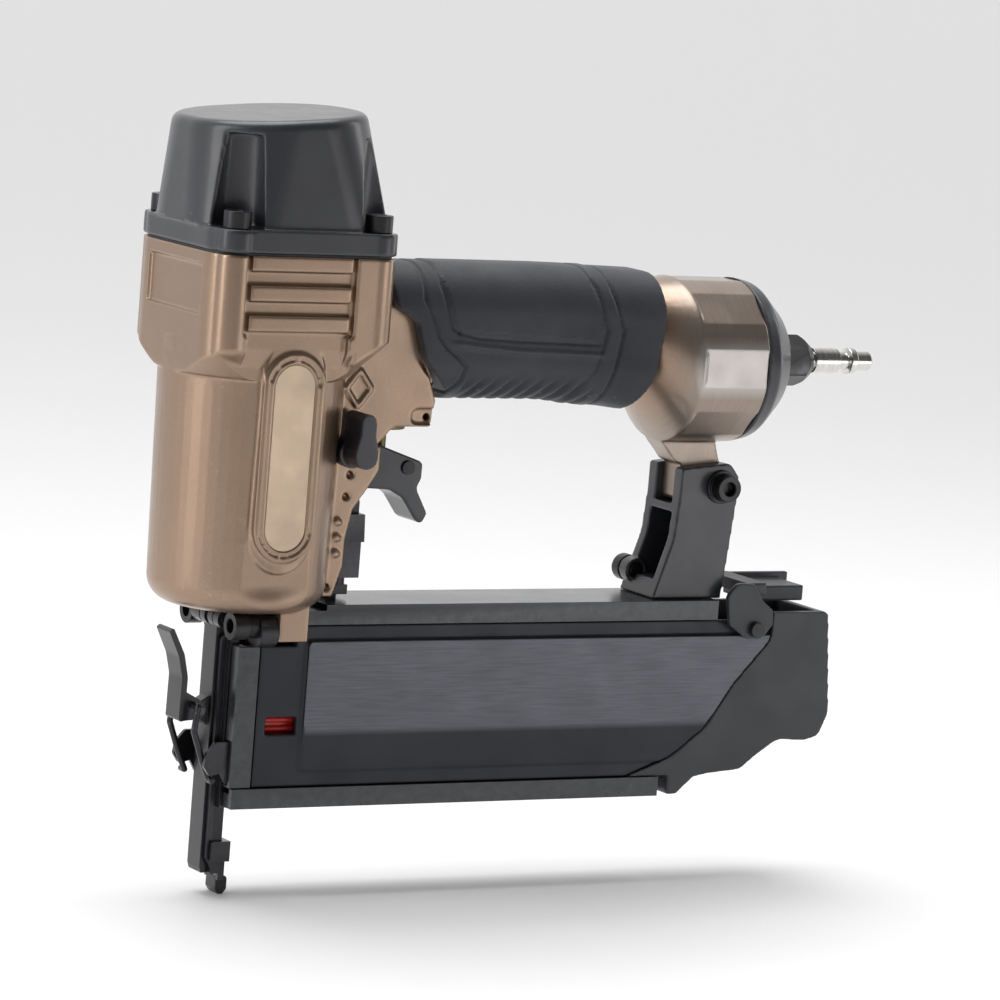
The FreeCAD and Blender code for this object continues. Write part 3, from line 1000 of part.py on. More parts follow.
def make_arm():
    """The moulded arm that ties the back of the magazine to the lug under the drum."""
    arm = Piece("support_arm")
    outline = [(154.7, 133.4, 1), (172.6, 135.2, 2.5), (176.1, 131, 2), (176.1, 123.5, 12), (174.3, 104, 12),
               (172.9, s.arm_base), (147.2, s.arm_base), (153.4, 110.6, 14), (154.5, 123.4)]
    arm.prism("XZ", [outline], (-s.arm_half, s.arm_half))
    arm.box((150, 180), (-s.lug_half - 0.1, s.lug_half + 0.1), (121.6, 140), cut=True)
    arm.prism("XZ", [[(140, 97.5), (168, 97.5), (169.5, 119), (140, 119)]], (-6.2, 6.2), cut=True)
    arm.rod("Y", (s.foot_screw_x, s.foot_screw_z), (5, s.arm_half), 4.0)
    arm.rod("Y", (s.arm_screw_x, s.arm_screw_z), (-s.arm_half - 1, s.arm_half + 1), s.screw_shank + 0.1,
            cut=True)
    arm.rod("Y", (s.foot_screw_x, s.foot_screw_z), (4, s.arm_half + 1), s.screw_shank + 0.1, cut=True)
    screw = Piece("arm_screw")
    cap_screw(screw, "Y", (s.arm_screw_x, s.arm_screw_z), -s.arm_half - 1.2, 4.4, 21, sign=-1)
    screw.rod("Y", (s.arm_screw_x, s.arm_screw_z), (-s.arm_half - 1.2, -s.arm_half), 5.4)
    nut = Piece("arm_nut")
    nut.prism("XZ", [hexagon(s.arm_screw_x, s.arm_screw_z, 4.0)], (s.arm_half, s.arm_half + 3.4))
    nut.rod("Y", (s.arm_screw_x, s.arm_screw_z), (s.arm_half - 1, s.arm_half + 4), s.screw_shank + 0.05,
            cut=True)
    foot = Piece("arm_foot_screw")
    cap_screw(foot, "Y", (s.foot_screw_x, s.foot_screw_z), s.arm_half, 4.0, 4.8)


def save():
    """Checks every object and writes one file per sub-part."""
    doc.recompute()
    for item in doc.Objects:
        if "Invalid" in item.State or "Error" in item.State:
            raise RuntimeError("%s failed: %s" % (item.Label, item.State))
    os.makedirs("parts", exist_ok=True)
    for piece in PIECES:
        shape = piece.body.Shape
        if shape.isNull() or not shape.isValid():
            raise RuntimeError(piece.label + " has no valid shape")
        shape.exportStep("parts/%s.step" % piece.label)


make_housing()
make_side_plate("side_plate_near", -1)
make_side_plate("side_plate_far", 1)
make_cap()
make_gasket()
make_cap_screws()
make_head_valve()
make_sleeve()
make_piston()
make_grip()
make_end_cap()
make_inlet()
make_trigger()
make_trigger_valve()
make_selector()
make_contact_arm()
make_nose()
make_bail()
make_rail()
make_cover()
make_rear_grip()
make_latch()
make_pusher()
make_arm()
save()
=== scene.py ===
import json
import math

import bmesh
import bpy
import numpy as np
from mathutils import Matrix, Vector


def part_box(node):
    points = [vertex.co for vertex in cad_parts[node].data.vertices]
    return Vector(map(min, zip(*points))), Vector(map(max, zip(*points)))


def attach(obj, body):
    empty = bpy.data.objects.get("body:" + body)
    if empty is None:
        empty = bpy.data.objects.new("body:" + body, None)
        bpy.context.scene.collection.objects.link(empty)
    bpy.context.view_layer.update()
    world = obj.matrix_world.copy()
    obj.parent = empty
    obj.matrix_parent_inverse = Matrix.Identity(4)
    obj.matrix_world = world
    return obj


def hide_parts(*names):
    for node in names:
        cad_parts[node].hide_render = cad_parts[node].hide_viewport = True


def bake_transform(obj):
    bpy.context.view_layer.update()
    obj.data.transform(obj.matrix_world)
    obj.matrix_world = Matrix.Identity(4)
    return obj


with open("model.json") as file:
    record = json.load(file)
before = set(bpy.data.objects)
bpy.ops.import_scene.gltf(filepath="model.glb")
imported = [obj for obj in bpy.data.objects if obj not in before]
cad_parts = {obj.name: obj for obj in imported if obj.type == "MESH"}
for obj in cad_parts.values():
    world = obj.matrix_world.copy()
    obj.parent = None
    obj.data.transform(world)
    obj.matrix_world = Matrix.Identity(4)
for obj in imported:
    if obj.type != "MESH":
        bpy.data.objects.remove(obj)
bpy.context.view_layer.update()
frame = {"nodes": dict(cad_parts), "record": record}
NODES = frame["nodes"]
RECORD = frame["record"]
BODY_OF = {node: body for body, nodes in RECORD["behaviour"]["bodies"].items() for node in nodes}
SLOT_OF = {part["node"]: part["material_slot"] for part in RECORD["subparts"]}
MM = 0.001  # one millimetre in metres
FAR = 1e9  # more than any distance in mm

VIEW_ANGLES = (-30.802, 7.697, 4.599)  # azimuth, elevation and roll in degrees
VIEW_TARGET = Vector((86, 0, 120)) * MM
VIEW_DISTANCE = 1636.65 * MM
VIEW_SHIFT = Vector((7.236, 1.808)) * MM  # to the right and up
LENS = 188.66
LIT_POINT = Vector((95, 0, 125)) * MM
DRUM_MIDDLE = Vector((161, -26, 168)) * MM
FLOOR_DROP = 0.2 * MM
FLOOR_REACH = 8  # metres from its middle to an edge

# How a metal's grain is stretched: into streaks along X, or into rings round an axis
STREAKS_ALONG_X = (3, 60, 60)
RINGS_ROUND_X = (90, 5, 5)
RINGS_ROUND_Z = (6, 6, 60)


def new_object(name, data):
    """A mesh, lamp or camera as an object in the scene."""
    made = bpy.data.objects.new(name, data)
    bpy.context.scene.collection.objects.link(made)
    return made


def mesh_from(builder, name):
    """Turns a finished builder mesh into mesh data and frees it."""
    mesh = bpy.data.meshes.new(name)
    builder.to_mesh(mesh)
    builder.free()
    return mesh


# ---------------------------------------------------------------------------------------------
# Camera, light and floor

def place_camera():
    """A long lens on the near side, a little above the tool and towards its nose.

    Returns the view's directions: right, up and back.
    """
    azimuth, elevation, roll = (math.radians(angle) for angle in VIEW_ANGLES)
    back = Vector((math.sin(azimuth) * math.cos(elevation), -math.cos(azimuth) * math.cos(elevation),
                   math.sin(elevation)))
    across = Vector((math.cos(azimuth), math.sin(azimuth), 0))
    upward = back.cross(across)
    right = across * math.cos(roll) + upward * math.sin(roll)
    up = upward * math.cos(roll) - across * math.sin(roll)
    camera = new_object("camera", bpy.data.cameras.new("camera"))
    camera.data.lens = LENS
    camera.data.sensor_width = 36
    camera.data.clip_start = 0.05
    camera.data.clip_end = 50
    spot = VIEW_TARGET + back * VIEW_DISTANCE + right * VIEW_SHIFT.x + up * VIEW_SHIFT.y
    camera.matrix_world = Matrix.Translation(spot) @ Matrix((right, up, back)).transposed().to_4x4()
    bpy.context.scene.camera = camera
    return right, up, back


def softbox(name, place, aim, wide, tall, power):
    """A rectangular studio light at a place, that faces a point."""
    lamp = bpy.data.lights.new(name, "AREA")
    lamp.shape = "RECTANGLE"
    lamp.size = wide
    lamp.size_y = tall
    lamp.energy = power
    box = new_object(name, lamp)
    box.location = place
    box.rotation_mode = "QUATERNION"
    box.rotation_quaternion = (place - aim).to_track_quat("Z", "Y")


def light_studio(right, up, back):
    """Soft boxes round the tool, most placed by the view's directions, and a broad light from above."""
    softbox("key_left", LIT_POINT - right * 0.95 + up * 0.4 + back * 0.6, LIT_POINT, 0.35, 0.95, 4.6)
    softbox("front_left", LIT_POINT - right * 0.7 + up * 0.5 + back * 0.9, LIT_POINT, 0.4, 0.6, 1.0)
    softbox("front_right", Vector((0.5, -0.54, 0.1)), DRUM_MIDDLE, 0.28, 0.3, 0.45)
    softbox("overhead", LIT_POINT + Vector((0, 0.15, 0.95)), LIT_POINT, 1.0, 0.7, 4.5)
    softbox("edge_right", LIT_POINT + right * 0.9 + up * 0.3 - back * 0.45, LIT_POINT, 0.25, 0.8, 1.8)
    lamp = bpy.data.lights.new("ceiling", "SUN")
    lamp.energy = 1.3
    lamp.angle = math.radians(50)
    ceiling = new_object("ceiling", lamp)
    ceiling.rotation_euler = (math.radians(-12), 0, 0)


def light_room():
    """White light from all round, weaker from the tool's near side than from its far side."""
    world = bpy.data.worlds.new("room")
    world.use_nodes = True
    tree = world.node_tree
    sky = tree.nodes["Background"]
    sky.inputs["Color"].default_value = (1, 1, 1, 1)
    sides = tree.nodes.new("ShaderNodeSeparateXYZ")
    tree.links.new(tree.nodes.new("ShaderNodeTexCoord").outputs["Generated"], sides.inputs[0])
    level = tree.nodes.new("ShaderNodeMapRange")
    for name, number in (("From Min", -0.3), ("From Max", 0.9), ("To Min", 0.12), ("To Max", 1.05)):
        level.inputs[name].default_value = number
    tree.links.new(sides.outputs["Y"], level.inputs["Value"])
    tree.links.new(level.outputs["Result"], sky.inputs["Strength"])
    bpy.context.scene.world = world
    bpy.context.scene.view_settings.view_transform = "Standard"


def lay_floor():
    """A wide floor of pale paper, just below the tool."""
    builder = bmesh.new()
    bmesh.ops.create_grid(builder, x_segments=8, y_segments=8, size=FLOOR_REACH)
    mesh = mesh_from(builder, "floor")
    floor = new_object("floor", mesh)
    floor.location = (0.1, 0, -FLOOR_DROP)
    paper = Look("floor_paper", (0.87, 0.87, 0.87), (0.6, 0.7))
    paper.bump(paper.noise(180, 3), 0.1 * MM, 0.2)
    mesh.materials.append(paper.material)


# ---------------------------------------------------------------------------------------------
# Materials

class Look:
    """A procedural material: one shader with colour, roughness and relief worked out in object space."""

    ROUGH_PATCHES = 90  # how many patches of differing gloss there are in a metre
    DRIFT = (0.3, 0.7)  # the middle part of a noise's range, where most of it lies

    def __init__(self, name, colour, rough, metallic=0.0, coat=0.0, coat_rough=0.2, specular=0.5):
        self.material = bpy.data.materials.new(name)
        self.material.use_nodes = True
        self.tree = self.material.node_tree
        self.shader = self.tree.nodes["Principled BSDF"]
        self.shader.inputs["Base Color"].default_value = (*colour, 1)
        self.shader.inputs["Metallic"].default_value = metallic
        self.shader.inputs["Coat Weight"].default_value = coat
        self.shader.inputs["Coat Roughness"].default_value = coat_rough
        self.shader.inputs["Specular IOR Level"].default_value = specular
        self.coords = self.add("ShaderNodeTexCoord").outputs["Object"]
        self.normal = None
        low, high = rough
        cloud = self.noise(self.ROUGH_PATCHES, 4)
        self.join(self.remap(cloud, *self.DRIFT, low, high), self.shader.inputs["Roughness"])

    def add(self, kind, **settings):
        """A new node with its settings made."""
        made = self.tree.nodes.new(kind)
        for name, value in settings.items():
            setattr(made, name, value)
        return made

    def join(self, source, target):
        """Links a node's output to an input."""
        self.tree.links.new(source, target)

    def stretched(self, stretch):
        """The coordinates scaled by a different number along each axis."""
        scale = self.add("ShaderNodeVectorMath", operation="MULTIPLY")
        self.join(self.coords, scale.inputs[0])
        scale.inputs[1].default_value = stretch
        return scale.outputs[0]

    def noise(self, scale, detail, stretch=(1, 1, 1)):
        """Soft clouds, scale of them in a metre, finer along an axis with a larger stretch."""
        made = self.add("ShaderNodeTexNoise")
        made.inputs["Scale"].default_value = scale
        made.inputs["Detail"].default_value = detail
        made.inputs["Roughness"].default_value = 0.55
        self.join(self.stretched(stretch), made.inputs["Vector"])
        return made.outputs["Fac"]

    def cells(self, scale, smooth=True):
        """The distance to the nearest of many scattered points."""
        made = self.add("ShaderNodeTexVoronoi", feature="SMOOTH_F1" if smooth else "F1")
        made.inputs["Scale"].default_value = scale
        self.join(self.coords, made.inputs["Vector"])
        return made.outputs["Distance"]

    def remap(self, value, low, high, start, finish):
        """Turns low to high into start to finish, and stops at both ends."""
        made = self.add("ShaderNodeMapRange")
        for name, number in (("From Min", low), ("From Max", high), ("To Min", start), ("To Max", finish)):
            made.inputs[name].default_value = number
        self.join(value, made.inputs["Value"])
        return made.outputs["Result"]

    def mix(self, factor, first, second):
        """A colour between two, each a colour or a node's output."""
        made = self.add("ShaderNodeMix", data_type="RGBA")
        self.join(factor, made.inputs["Factor"])
        for socket, colour in ((made.inputs[6], first), (made.inputs[7], second)):
            if isinstance(colour, tuple):
                socket.default_value = (*colour, 1)
            else:
                self.join(colour, socket)
        return made.outputs[2]

    def edges(self, low, high):
        """How sharply the surface turns outwards, from 0 on flats to 1 on corners."""
        return self.remap(self.add("ShaderNodeNewGeometry").outputs["Pointiness"], low, high, 0, 1)

    def rubbed(self, low, high, scale, body, edge):
        """A body colour with the edge colour where its corners are rubbed, in patches."""
        return self.mix(self.times(self.edges(low, high), self.noise(scale, 3)), body, edge)

    def axis(self, letter):
        """One object coordinate, in metres."""
        made = self.add("ShaderNodeSeparateXYZ")
        self.join(self.coords, made.inputs[0])
        return made.outputs[letter]

    def times(self, first, second):
        """The product of two outputs."""
        made = self.add("ShaderNodeMath", operation="MULTIPLY")
        self.join(first, made.inputs[0])
        self.join(second, made.inputs[1])
        return made.outputs[0]

    def paint(self, colour):
        """Gives the shader an output as its colour."""
        self.join(colour, self.shader.inputs["Base Color"])

    def bump(self, height, distance, strength=1.0):
        """Adds relief on top of what is already there. distance is in metres."""
        made = self.add("ShaderNodeBump")
        made.inputs["Distance"].default_value = distance
        made.inputs["Strength"].default_value = strength
        self.join(height, made.inputs["Height"])
        if self.normal is not None:
            self.join(self.normal, made.inputs["Normal"])
        self.normal = made.outputs["Normal"]
        self.join(self.normal, self.shader.inputs["Normal"])


def bronze_look():
    """Bronze metallic paint over a casting with paler corners, partly rubbed paint and partly a painted
    highlight, and a turned, brushed drum at the back whose flats carry a painted highlight.
    """
    drum_start, drum_full = 139.5 * MM, 147 * MM
    highlight_flat_start, highlight_flat_full = 24.4 * MM, 25.6 * MM
    look = Look("bronze_casting", (0.3, 0.21, 0.15), (0.3, 0.38), metallic=0.85, coat=0.25, coat_rough=0.22)
    flakes = look.remap(look.cells(2600, smooth=False), 0.1, 0.7, 0, 1)
    body = look.mix(flakes, (0.36, 0.25, 0.178), (0.315, 0.216, 0.152))
    body = look.mix(look.remap(look.noise(35, 4), 0.35, 0.7, 0, 0.3), body, (0.24, 0.165, 0.115))
    # Paler colour on the casting's corners, in patches: partly rubbed paint, partly a painted highlight.
    patches = look.remap(look.noise(160, 3), 0.3, 0.65, 0.05, 0.22)
    body = look.mix(look.times(look.edges(0.54, 0.66), patches), body, (0.6, 0.48, 0.38))
    turning = look.remap(look.noise(26, 5, stretch=(40, 3, 3)), *look.DRIFT, 0, 1)
    drum = look.mix(turning, (0.31, 0.25, 0.21), (0.27, 0.215, 0.175))
    # Painted highlight: the drum's two flat sides are painted paler than the rest of the drum.
    for side in (-1, 1):
        flat = look.remap(look.axis("Y"), side * highlight_flat_start, side * highlight_flat_full, 0, 1)
        drum = look.mix(flat, drum, (0.4, 0.37, 0.35))
    look.paint(look.mix(look.remap(look.axis("X"), drum_start, drum_full, 0, 1), body, drum))
    look.bump(look.noise(520, 3), 0.05 * MM, 0.5)
    look.bump(look.noise(3200, 2), 0.02 * MM, 0.35)
    return look.material


def moulded_look(name, colour, rough, tint=1.7, coat=0.0):
    """Moulded plastic: a fine even grain, cloudy sheen and paler worn edges."""
    grain, relief = 2600, 0.03 * MM
    look = Look(name, colour, rough, coat=coat, coat_rough=0.16)
    paler = tuple(min(1, channel * tint + 0.006) for channel in colour)
    worn = tuple(channel * 3 + 0.02 for channel in colour)
    body = look.mix(look.remap(look.noise(28, 4), 0.35, 0.7, 0, 0.5), colour, paler)
    look.paint(look.rubbed(0.53, 0.62, 240, body, worn))
    look.bump(look.noise(grain, 2), relief, 0.6)
    look.bump(look.noise(grain / 9, 3), relief, 0.25)
    return look.material


def rubber_look():
    """Grained black rubber with a soft blue-grey sheen."""
    look = Look("grip_rubber", (0.026, 0.028, 0.035), (0.52, 0.66), specular=0.42)
    look.shader.inputs["Sheen Weight"].default_value = 0.12
    look.shader.inputs["Sheen Roughness"].default_value = 0.5
    clouds = look.remap(look.noise(40, 4), 0.35, 0.7, 0, 1)
    body = look.mix(clouds, (0.024, 0.026, 0.033), (0.036, 0.038, 0.047))
    look.paint(look.mix(look.edges(0.52, 0.6), body, (0.06, 0.063, 0.072)))
    look.bump(look.cells(1500), 0.12 * MM, 0.55)
    look.bump(look.noise(3600, 2), 0.04 * MM, 0.5)
    return look.material


def metal_look(name, colour, rough, metallic=1.0, brush=None, edge=None, relief=0.02 * MM, coat=0.0):
    """Worked metal. brush stretches the grain into streaks or rings; edge is the colour of rubbed corners."""
    look = Look(name, colour, rough, metallic=metallic, coat=coat)
    darker = tuple(channel * 0.72 for channel in colour)
    grain = look.noise(26, 5, stretch=brush) if brush else look.noise(60, 4)
    body = look.mix(look.remap(grain, *look.DRIFT, 0, 1), colour, darker)
    if edge:
        body = look.rubbed(0.53, 0.63, 300, body, edge)
    look.paint(body)
    look.bump(grain if brush else look.noise(900, 3), relief, 0.5)
    look.bump(look.noise(4200, 2), relief / 2, 0.4)
    return look.material


def cover_look():
    """Dark anodised cover: a paler brushed panel on a matt black ground."""
    ground_face, panel_face = -13.75 * MM, -13.9 * MM
    look = Look("charcoal_cover", (0.05, 0.053, 0.061), (0.34, 0.46), metallic=0.55)
    grain = look.noise(26, 5, stretch=STREAKS_ALONG_X)
    panel = look.mix(look.remap(grain, *look.DRIFT, 0, 1), (0.125, 0.13, 0.15), (0.092, 0.096, 0.112))
    clouds = look.remap(look.noise(50, 4), *look.DRIFT, 0, 1)
    ground = look.mix(clouds, (0.03, 0.031, 0.037), (0.022, 0.023, 0.028))
    body = look.mix(look.remap(look.axis("Y"), ground_face, panel_face, 0, 1), ground, panel)
    look.paint(look.rubbed(0.53, 0.63, 300, body, (0.17, 0.175, 0.19)))
    look.bump(grain, 0.03 * MM, 0.5)
    look.bump(look.noise(4200, 2), 0.015 * MM, 0.4)
    return look.material


def make_looks():
    """One material for each slot of the record."""
    return {
        "bronze_casting": bronze_look(),
        "cream_plate": metal_look("cream_plate", (0.8, 0.6, 0.43), (0.32, 0.42), 0.35, coat=0.3),
        "black_moulding": moulded_look("black_moulding", (0.017, 0.018, 0.023), (0.36, 0.46), coat=0.35),
        "seal_rubber": moulded_look("seal_rubber", (0.012, 0.012, 0.013), (0.6, 0.75)),
        "bumper_rubber": moulded_look("bumper_rubber", (0.05, 0.042, 0.03), (0.55, 0.7)),
        "black_fastener": metal_look("black_fastener", (0.03, 0.03, 0.032), (0.26, 0.4), 0.75,
                                     edge=(0.16, 0.16, 0.165)),
        "black_nose_steel": metal_look("black_nose_steel", (0.02, 0.02, 0.024), (0.28, 0.36), 0.55,
                                       edge=(0.13, 0.13, 0.135), coat=0.3),
        "bare_steel": metal_look("bare_steel", (0.55, 0.55, 0.56), (0.22, 0.34), brush=RINGS_ROUND_Z),
        "spring_steel": metal_look("spring_steel", (0.4, 0.4, 0.41), (0.25, 0.35), edge=(0.6, 0.6, 0.6)),
        "valve_brass": metal_look("valve_brass", (0.16, 0.125, 0.07), (0.3, 0.42), brush=RINGS_ROUND_Z),
        "valve_plastic": moulded_look("valve_plastic", (0.06, 0.06, 0.065), (0.4, 0.5)),
        "grip_rubber": rubber_look(),
        "plated_steel": metal_look("plated_steel", (0.7, 0.68, 0.65), (0.1, 0.2), brush=RINGS_ROUND_X,
                                   relief=0.01 * MM),
        "black_trigger": moulded_look("black_trigger", (0.012, 0.013, 0.017), (0.3, 0.42), coat=0.3),
        "black_rail": metal_look("black_rail", (0.022, 0.023, 0.028), (0.26, 0.31), 0.5,
                                 brush=STREAKS_ALONG_X, edge=(0.14, 0.145, 0.155), coat=0.3),
        "charcoal_cover": cover_look(),
        "charcoal_grip": moulded_look("charcoal_grip", (0.03, 0.032, 0.038), (0.38, 0.5)),
        "red_pusher": moulded_look("red_pusher", (0.42, 0.012, 0.01), (0.2, 0.32), tint=1.2),
    }


# ---------------------------------------------------------------------------------------------
# Ways to shape a piece

def welded(node):
    """A builder mesh of a CAD node with its split corners joined."""
    builder = bmesh.new()
    builder.from_mesh(NODES[node].data)
    bmesh.ops.remove_doubles(builder, verts=builder.verts, dist=0.002 * MM)
    return builder


def piece_from(mesh, node, riding=True):
    """Makes a mesh into a piece that stands for a CAD node, and rides on that node's body when riding is
    true.
    """
    for kind in ("custom_normal", "sharp_edge", "sharp_face"):
        if kind in mesh.attributes:
            mesh.attributes.remove(mesh.attributes[kind])
    piece = new_object(node + "_shaped", mesh)
    mesh.materials.clear()
    mesh.materials.append(LOOKS[SLOT_OF[node]])
    if riding:
        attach(piece, BODY_OF[node])
    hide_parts(node)
    return piece


def evaluated(piece):
    """The piece's mesh with its modifiers applied, which are then removed."""
    bpy.context.view_layer.update()
    graph = bpy.context.evaluated_depsgraph_get()
    mesh = bpy.data.meshes.new_from_object(piece.evaluated_get(graph))
    piece.modifiers.clear()
    return mesh


def remeshed(node, voxel, passes, shape=None):
    """A copy of a node as an even skin of small faces, with every corner softened as in a mould or a casting.

    voxel is the size of a face in mm. shape moves the skin's points, in mm, given their outward directions.
    """
    draft = new_object(node + "_draft", mesh_from(welded(node), node + "_skin"))
    skin = draft.modifiers.new("skin", "REMESH")
    skin.mode = "VOXEL"
    skin.voxel_size = voxel * MM
    soft = draft.modifiers.new("soft", "SMOOTH")
    soft.factor = 0.5
    soft.iterations = passes
    mesh = evaluated(draft)
    bpy.data.objects.remove(draft)
    if shape:
        move_points(mesh, shape)
    piece_from(mesh, node).data.shade_smooth()


def move_points(mesh, shape):
    """Moves a mesh's points as shape says, from their places in mm and their outward directions."""
    points = np.empty(len(mesh.vertices) * 3)
    mesh.vertices.foreach_get("co", points)
    normals = np.empty(len(mesh.vertices) * 3)
    mesh.vertices.foreach_get("normal", normals)
    moved = shape(points.reshape(-1, 3) / MM, normals.reshape(-1, 3)) * MM
    mesh.vertices.foreach_set("co", moved.ravel())
    mesh.update()


def bevelled(node, width):
    """A copy of a node whose sharp corners have small round edges, width in mm, that catch the light."""
    builder = welded(node)
    bmesh.ops.dissolve_limit(builder, angle_limit=math.radians(0.6), verts=builder.verts,
                             edges=builder.edges)
    piece = piece_from(mesh_from(builder, node + "_bevelled"), node)
    piece.data.shade_smooth()
    edge = piece.modifiers.new("edge", "BEVEL")
    edge.width = width * MM
    edge.segments = 2
    edge.limit_method = "ANGLE"
    edge.angle_limit = math.radians(32)
    edge.use_clamp_overlap = True
    edge.miter_outer = "MITER_ARC"
    even = piece.modifiers.new("even", "WEIGHTED_NORMAL")
    even.keep_sharp = True
    piece.data = evaluated(piece)


def coiled(node):
    """A copy of a spring, attached to no body, with its place baked into its points."""
    piece = piece_from(mesh_from(welded(node), node + "_coiled"), node, riding=False)
    piece.data.shade_smooth()
    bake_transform(piece)


def distance_to(line, across, up):
    """The distance of each point (across, up) from a line of corners, in the same unit."""
    nearest = np.full(len(across), FAR)
    for (x0, z0), (x1, z1) in zip(line[:-1], line[1:]):
        run, rise = x1 - x0, z1 - z0
        share = ((across - x0) * run + (up - z0) * rise) / (run * run + rise * rise)
        share = np.clip(share, 0, 1)
        nearest = np.minimum(nearest, np.hypot(across - x0 - share * run, up - z0 - share * rise))
    return nearest


def inside(outline, across, up):
    """True for each point inside a closed outline of corners."""
    result = np.zeros(len(across), bool)
    for (x0, z0), (x1, z1) in zip(outline, outline[1:] + outline[:1]):
        crossing = (z0 > up) != (z1 > up)
        slope = (x1 - x0) / (z1 - z0) if z1 != z0 else 0.0
        result ^= crossing & (across < x0 + (up - z0) * slope)
    return result


def ease(value):
    """A smooth step from 0 to 1."""
    value = np.clip(value, 0, 1)
    return value * value * (3 - 2 * value)


# ---------------------------------------------------------------------------------------------
# Shapes, in mm

def flatten_barrel(points, _normals):
    """Planes the two sides of the barrel flat round the raised rings of the side plates."""
    low, high = (Vector(corner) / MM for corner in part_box("side_plate_near"))
    plate_radius = (high.x - low.x) / 2
    ring_radius = plate_radius + 3.55
    ring_reach = plate_radius - 3.5
    barrel_foot, shoulder, barrel_back = 88, 171.5, 22
    foot_half_width, taper, taper_foot, taper_length = 24.7, 0.022, 95, 60
    x, y, z = points.T
    ring_line = np.clip(z, low.z + ring_reach, high.z - ring_reach)
    beside_ring = np.hypot(x - (low.x + high.x) / 2, z - ring_line) - ring_radius
    half_width = foot_half_width + taper * np.clip(z - taper_foot, 0, taper_length)
    share = ease((z - barrel_foot) / 12) * ease((shoulder - z) / 6) * ease(beside_ring / 0.6)
    over = np.clip(np.abs(y) - half_width, 0, 4) * share * (x < barrel_back)
    return np.column_stack((x, y - np.sign(y) * over, z))


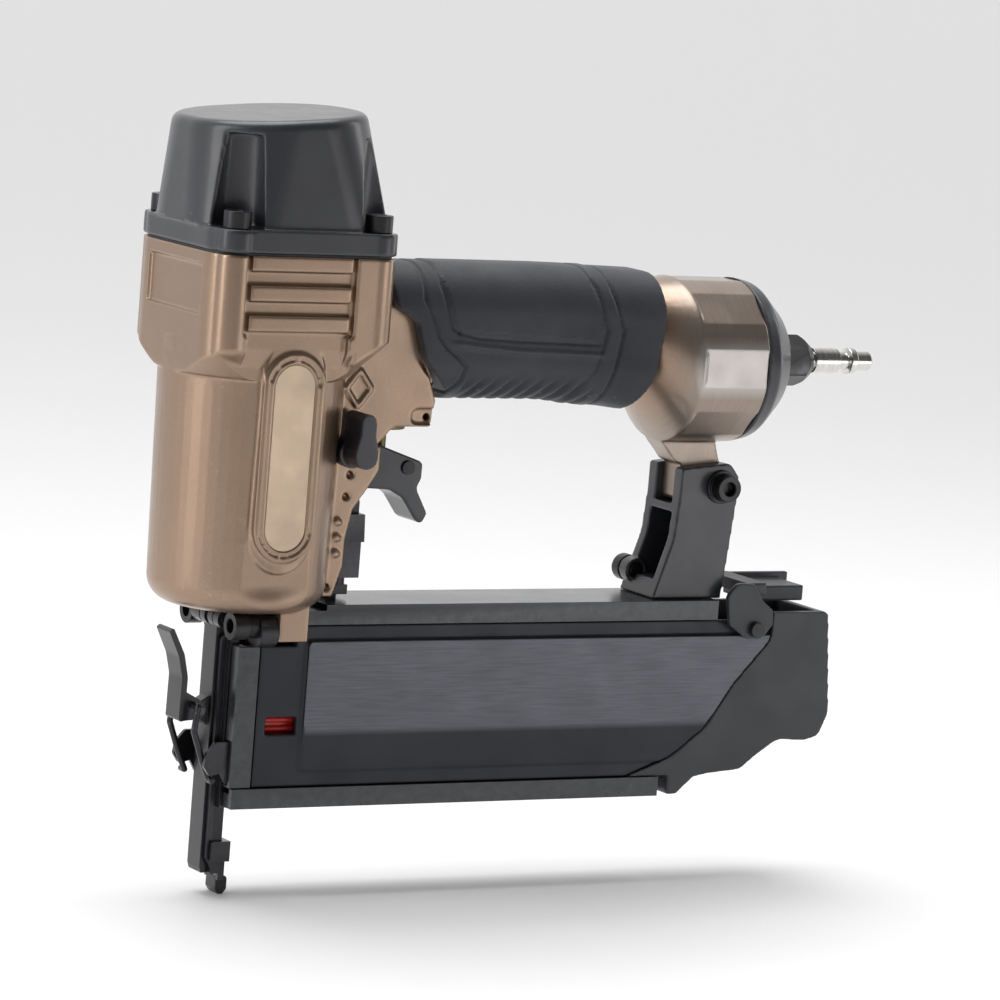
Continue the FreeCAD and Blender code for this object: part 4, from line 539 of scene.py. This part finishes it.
def shape_grip(points, normals):
    """The grip's grooves, the ridge along its side, the raised band at the back and the finger ribs below."""
    x, y, z = points.T
    front = [(53.6, 205), (53, 190.5), (52.6, 186.2), (55.4, 181.3), (58.0, 175.2), (61.2, 171.6),
             (65.7, 168.6), (68.5, 165.5), (67.8, 161.2), (64.9, 157.4), (62, 150)]
    second = [(59.6, 205), (58.6, 192), (60.4, 183.9), (62.7, 177.8), (65.0, 176.3)]
    shelf = [(65.0, 176.3), (72.2, 174.8), (86.6, 174.1), (101.0, 173.8), (115.4, 173.4)]
    inner = [(112.5, 205), (112.8, 194), (114.4, 190.5), (115.9, 185.0), (118.0, 178.1), (116.4, 171.0)]
    outer = [(118.5, 205), (119, 194), (120, 188.8), (121.5, 183.8), (123.6, 178.3), (122.7, 171.9),
             (121.4, 165.6), (120.4, 159.9), (118.5, 150)]
    ridge = [(60, 173.2), (72.5, 172.0), (87, 170.8), (101, 170.5), (115, 170.1)]
    panel = [(61, 205), (60, 192), (62, 184), (64.3, 178), (66, 177), (114, 174.6), (116.4, 178),
             (114.4, 185), (112.6, 191), (111, 205)]
    band = outer + [(105, 150), (115, 165)] + inner[::-1]
    ridge_rise, ridge_reach = 0.75, 1.3
    shelf_depth, shelf_reach = 0.45, 0.8
    hollow_depth, panel_rise, band_rise = 0.35, 0.25, 0.3
    offset = np.zeros(len(x))
    for line, width, depth in ((front, 1.0, 0.9), (second, 1.0, 0.8), (inner, 0.9, 0.7), (outer, 1.1, 0.9)):
        offset -= depth * ease(1 - distance_to(line, x, z) / width)
    ridge_height = np.interp(x, *zip(*ridge))
    along_ridge = ease((x - 61) / 5) * ease((118 - x) / 4)
    offset += ridge_rise * along_ridge * ease(1 - np.abs(z - ridge_height) / ridge_reach)
    offset -= shelf_depth * along_ridge * ease(1 - distance_to(shelf, x, z) / shelf_reach)
    offset -= hollow_depth * along_ridge * ease((ridge_height - z) / 2.2) * ease((z - 160) / 3)
    offset += panel_rise * inside(panel, x, z)
    offset += band_rise * inside(band, x, z)
    rib_pitch, rib_slant, rib_depth = 5.2, 0.55, 1.1
    rib = 0.5 - 0.5 * np.cos(2 * math.pi * (x - rib_slant * z) / rib_pitch)
    underside = ease((163.5 - z) / 5) * ease((x - 68) / 4) * ease((117 - x) / 4)
    offset -= rib_depth * underside * rib ** 2
    core_middle, core_radius = 175.4, 13.6
    outer_skin = ease((np.hypot(y, (z - core_middle) * 0.86) - core_radius) / 1.5)
    return points + normals * (offset * outer_skin)[:, None]


# ---------------------------------------------------------------------------------------------
# Pieces

# Each node with the size of its skin's faces in mm and the number of times that the skin is smoothed.
MOULDED = (
    ("rear_end_cap", 0.45, 4), ("magazine_cover", 0.4, 2), ("support_arm", 0.45, 3),
    ("magazine_rear_grip", 0.5, 4), ("magazine_latch", 0.35, 3), ("trigger", 0.32, 4),
    ("mode_selector", 0.3, 4), ("contact_tip", 0.25, 3), ("latch_bail", 0.25, 3),
)

# Each node with the width of its round edges in mm.
EDGED = (
    ("magazine_rail", 0.25), ("magazine_front_plate", 0.25), ("nose_base", 0.2), ("nose_door", 0.2),
    ("latch_lever", 0.25), ("contact_arm_lower", 0.2), ("contact_arm_upper", 0.25), ("depth_wheel", 0.15),
    ("cap_screws", 0.35), ("nose_screws", 0.35), ("arm_screw", 0.35), ("arm_nut", 0.35),
    ("arm_foot_screw", 0.3), ("inlet_bushing", 0.3), ("air_plug", 0.15), ("magazine_latch_pin", 0.3),
    ("side_plate_near", 0.2), ("side_plate_far", 0.2), ("pusher", 0.2), ("trigger_valve_body", 0.2),
    ("trigger_pivot_pin", 0.2), ("idler_pin", 0.2),
)


def make_pieces():
    """The shaped pieces. Every other node is shown as the CAD has it."""
    remeshed("main_housing", 0.45, 3, flatten_barrel)
    remeshed("cylinder_cap", 0.5, 5)
    remeshed("grip_sleeve", 0.45, 5, shape_grip)
    for node, voxel, passes in MOULDED:
        remeshed(node, voxel, passes)
    for node, width in EDGED:
        bevelled(node, width)
    for node, moving in (("head_valve_spring", "head_valve_body"), ("trigger_valve_spring", "valve_stem"),
                         ("contact_spring", "contact_upper")):
        coiled(node)


def finish_nodes():
    """Gives every CAD node its material, the inner ones too."""
    for name, node in NODES.items():
        node.data.materials.clear()
        node.data.materials.append(LOOKS[SLOT_OF[name]])


LOOKS = make_looks()
light_studio(*place_camera())
light_room()
lay_floor()
make_pieces()
finish_nodes()
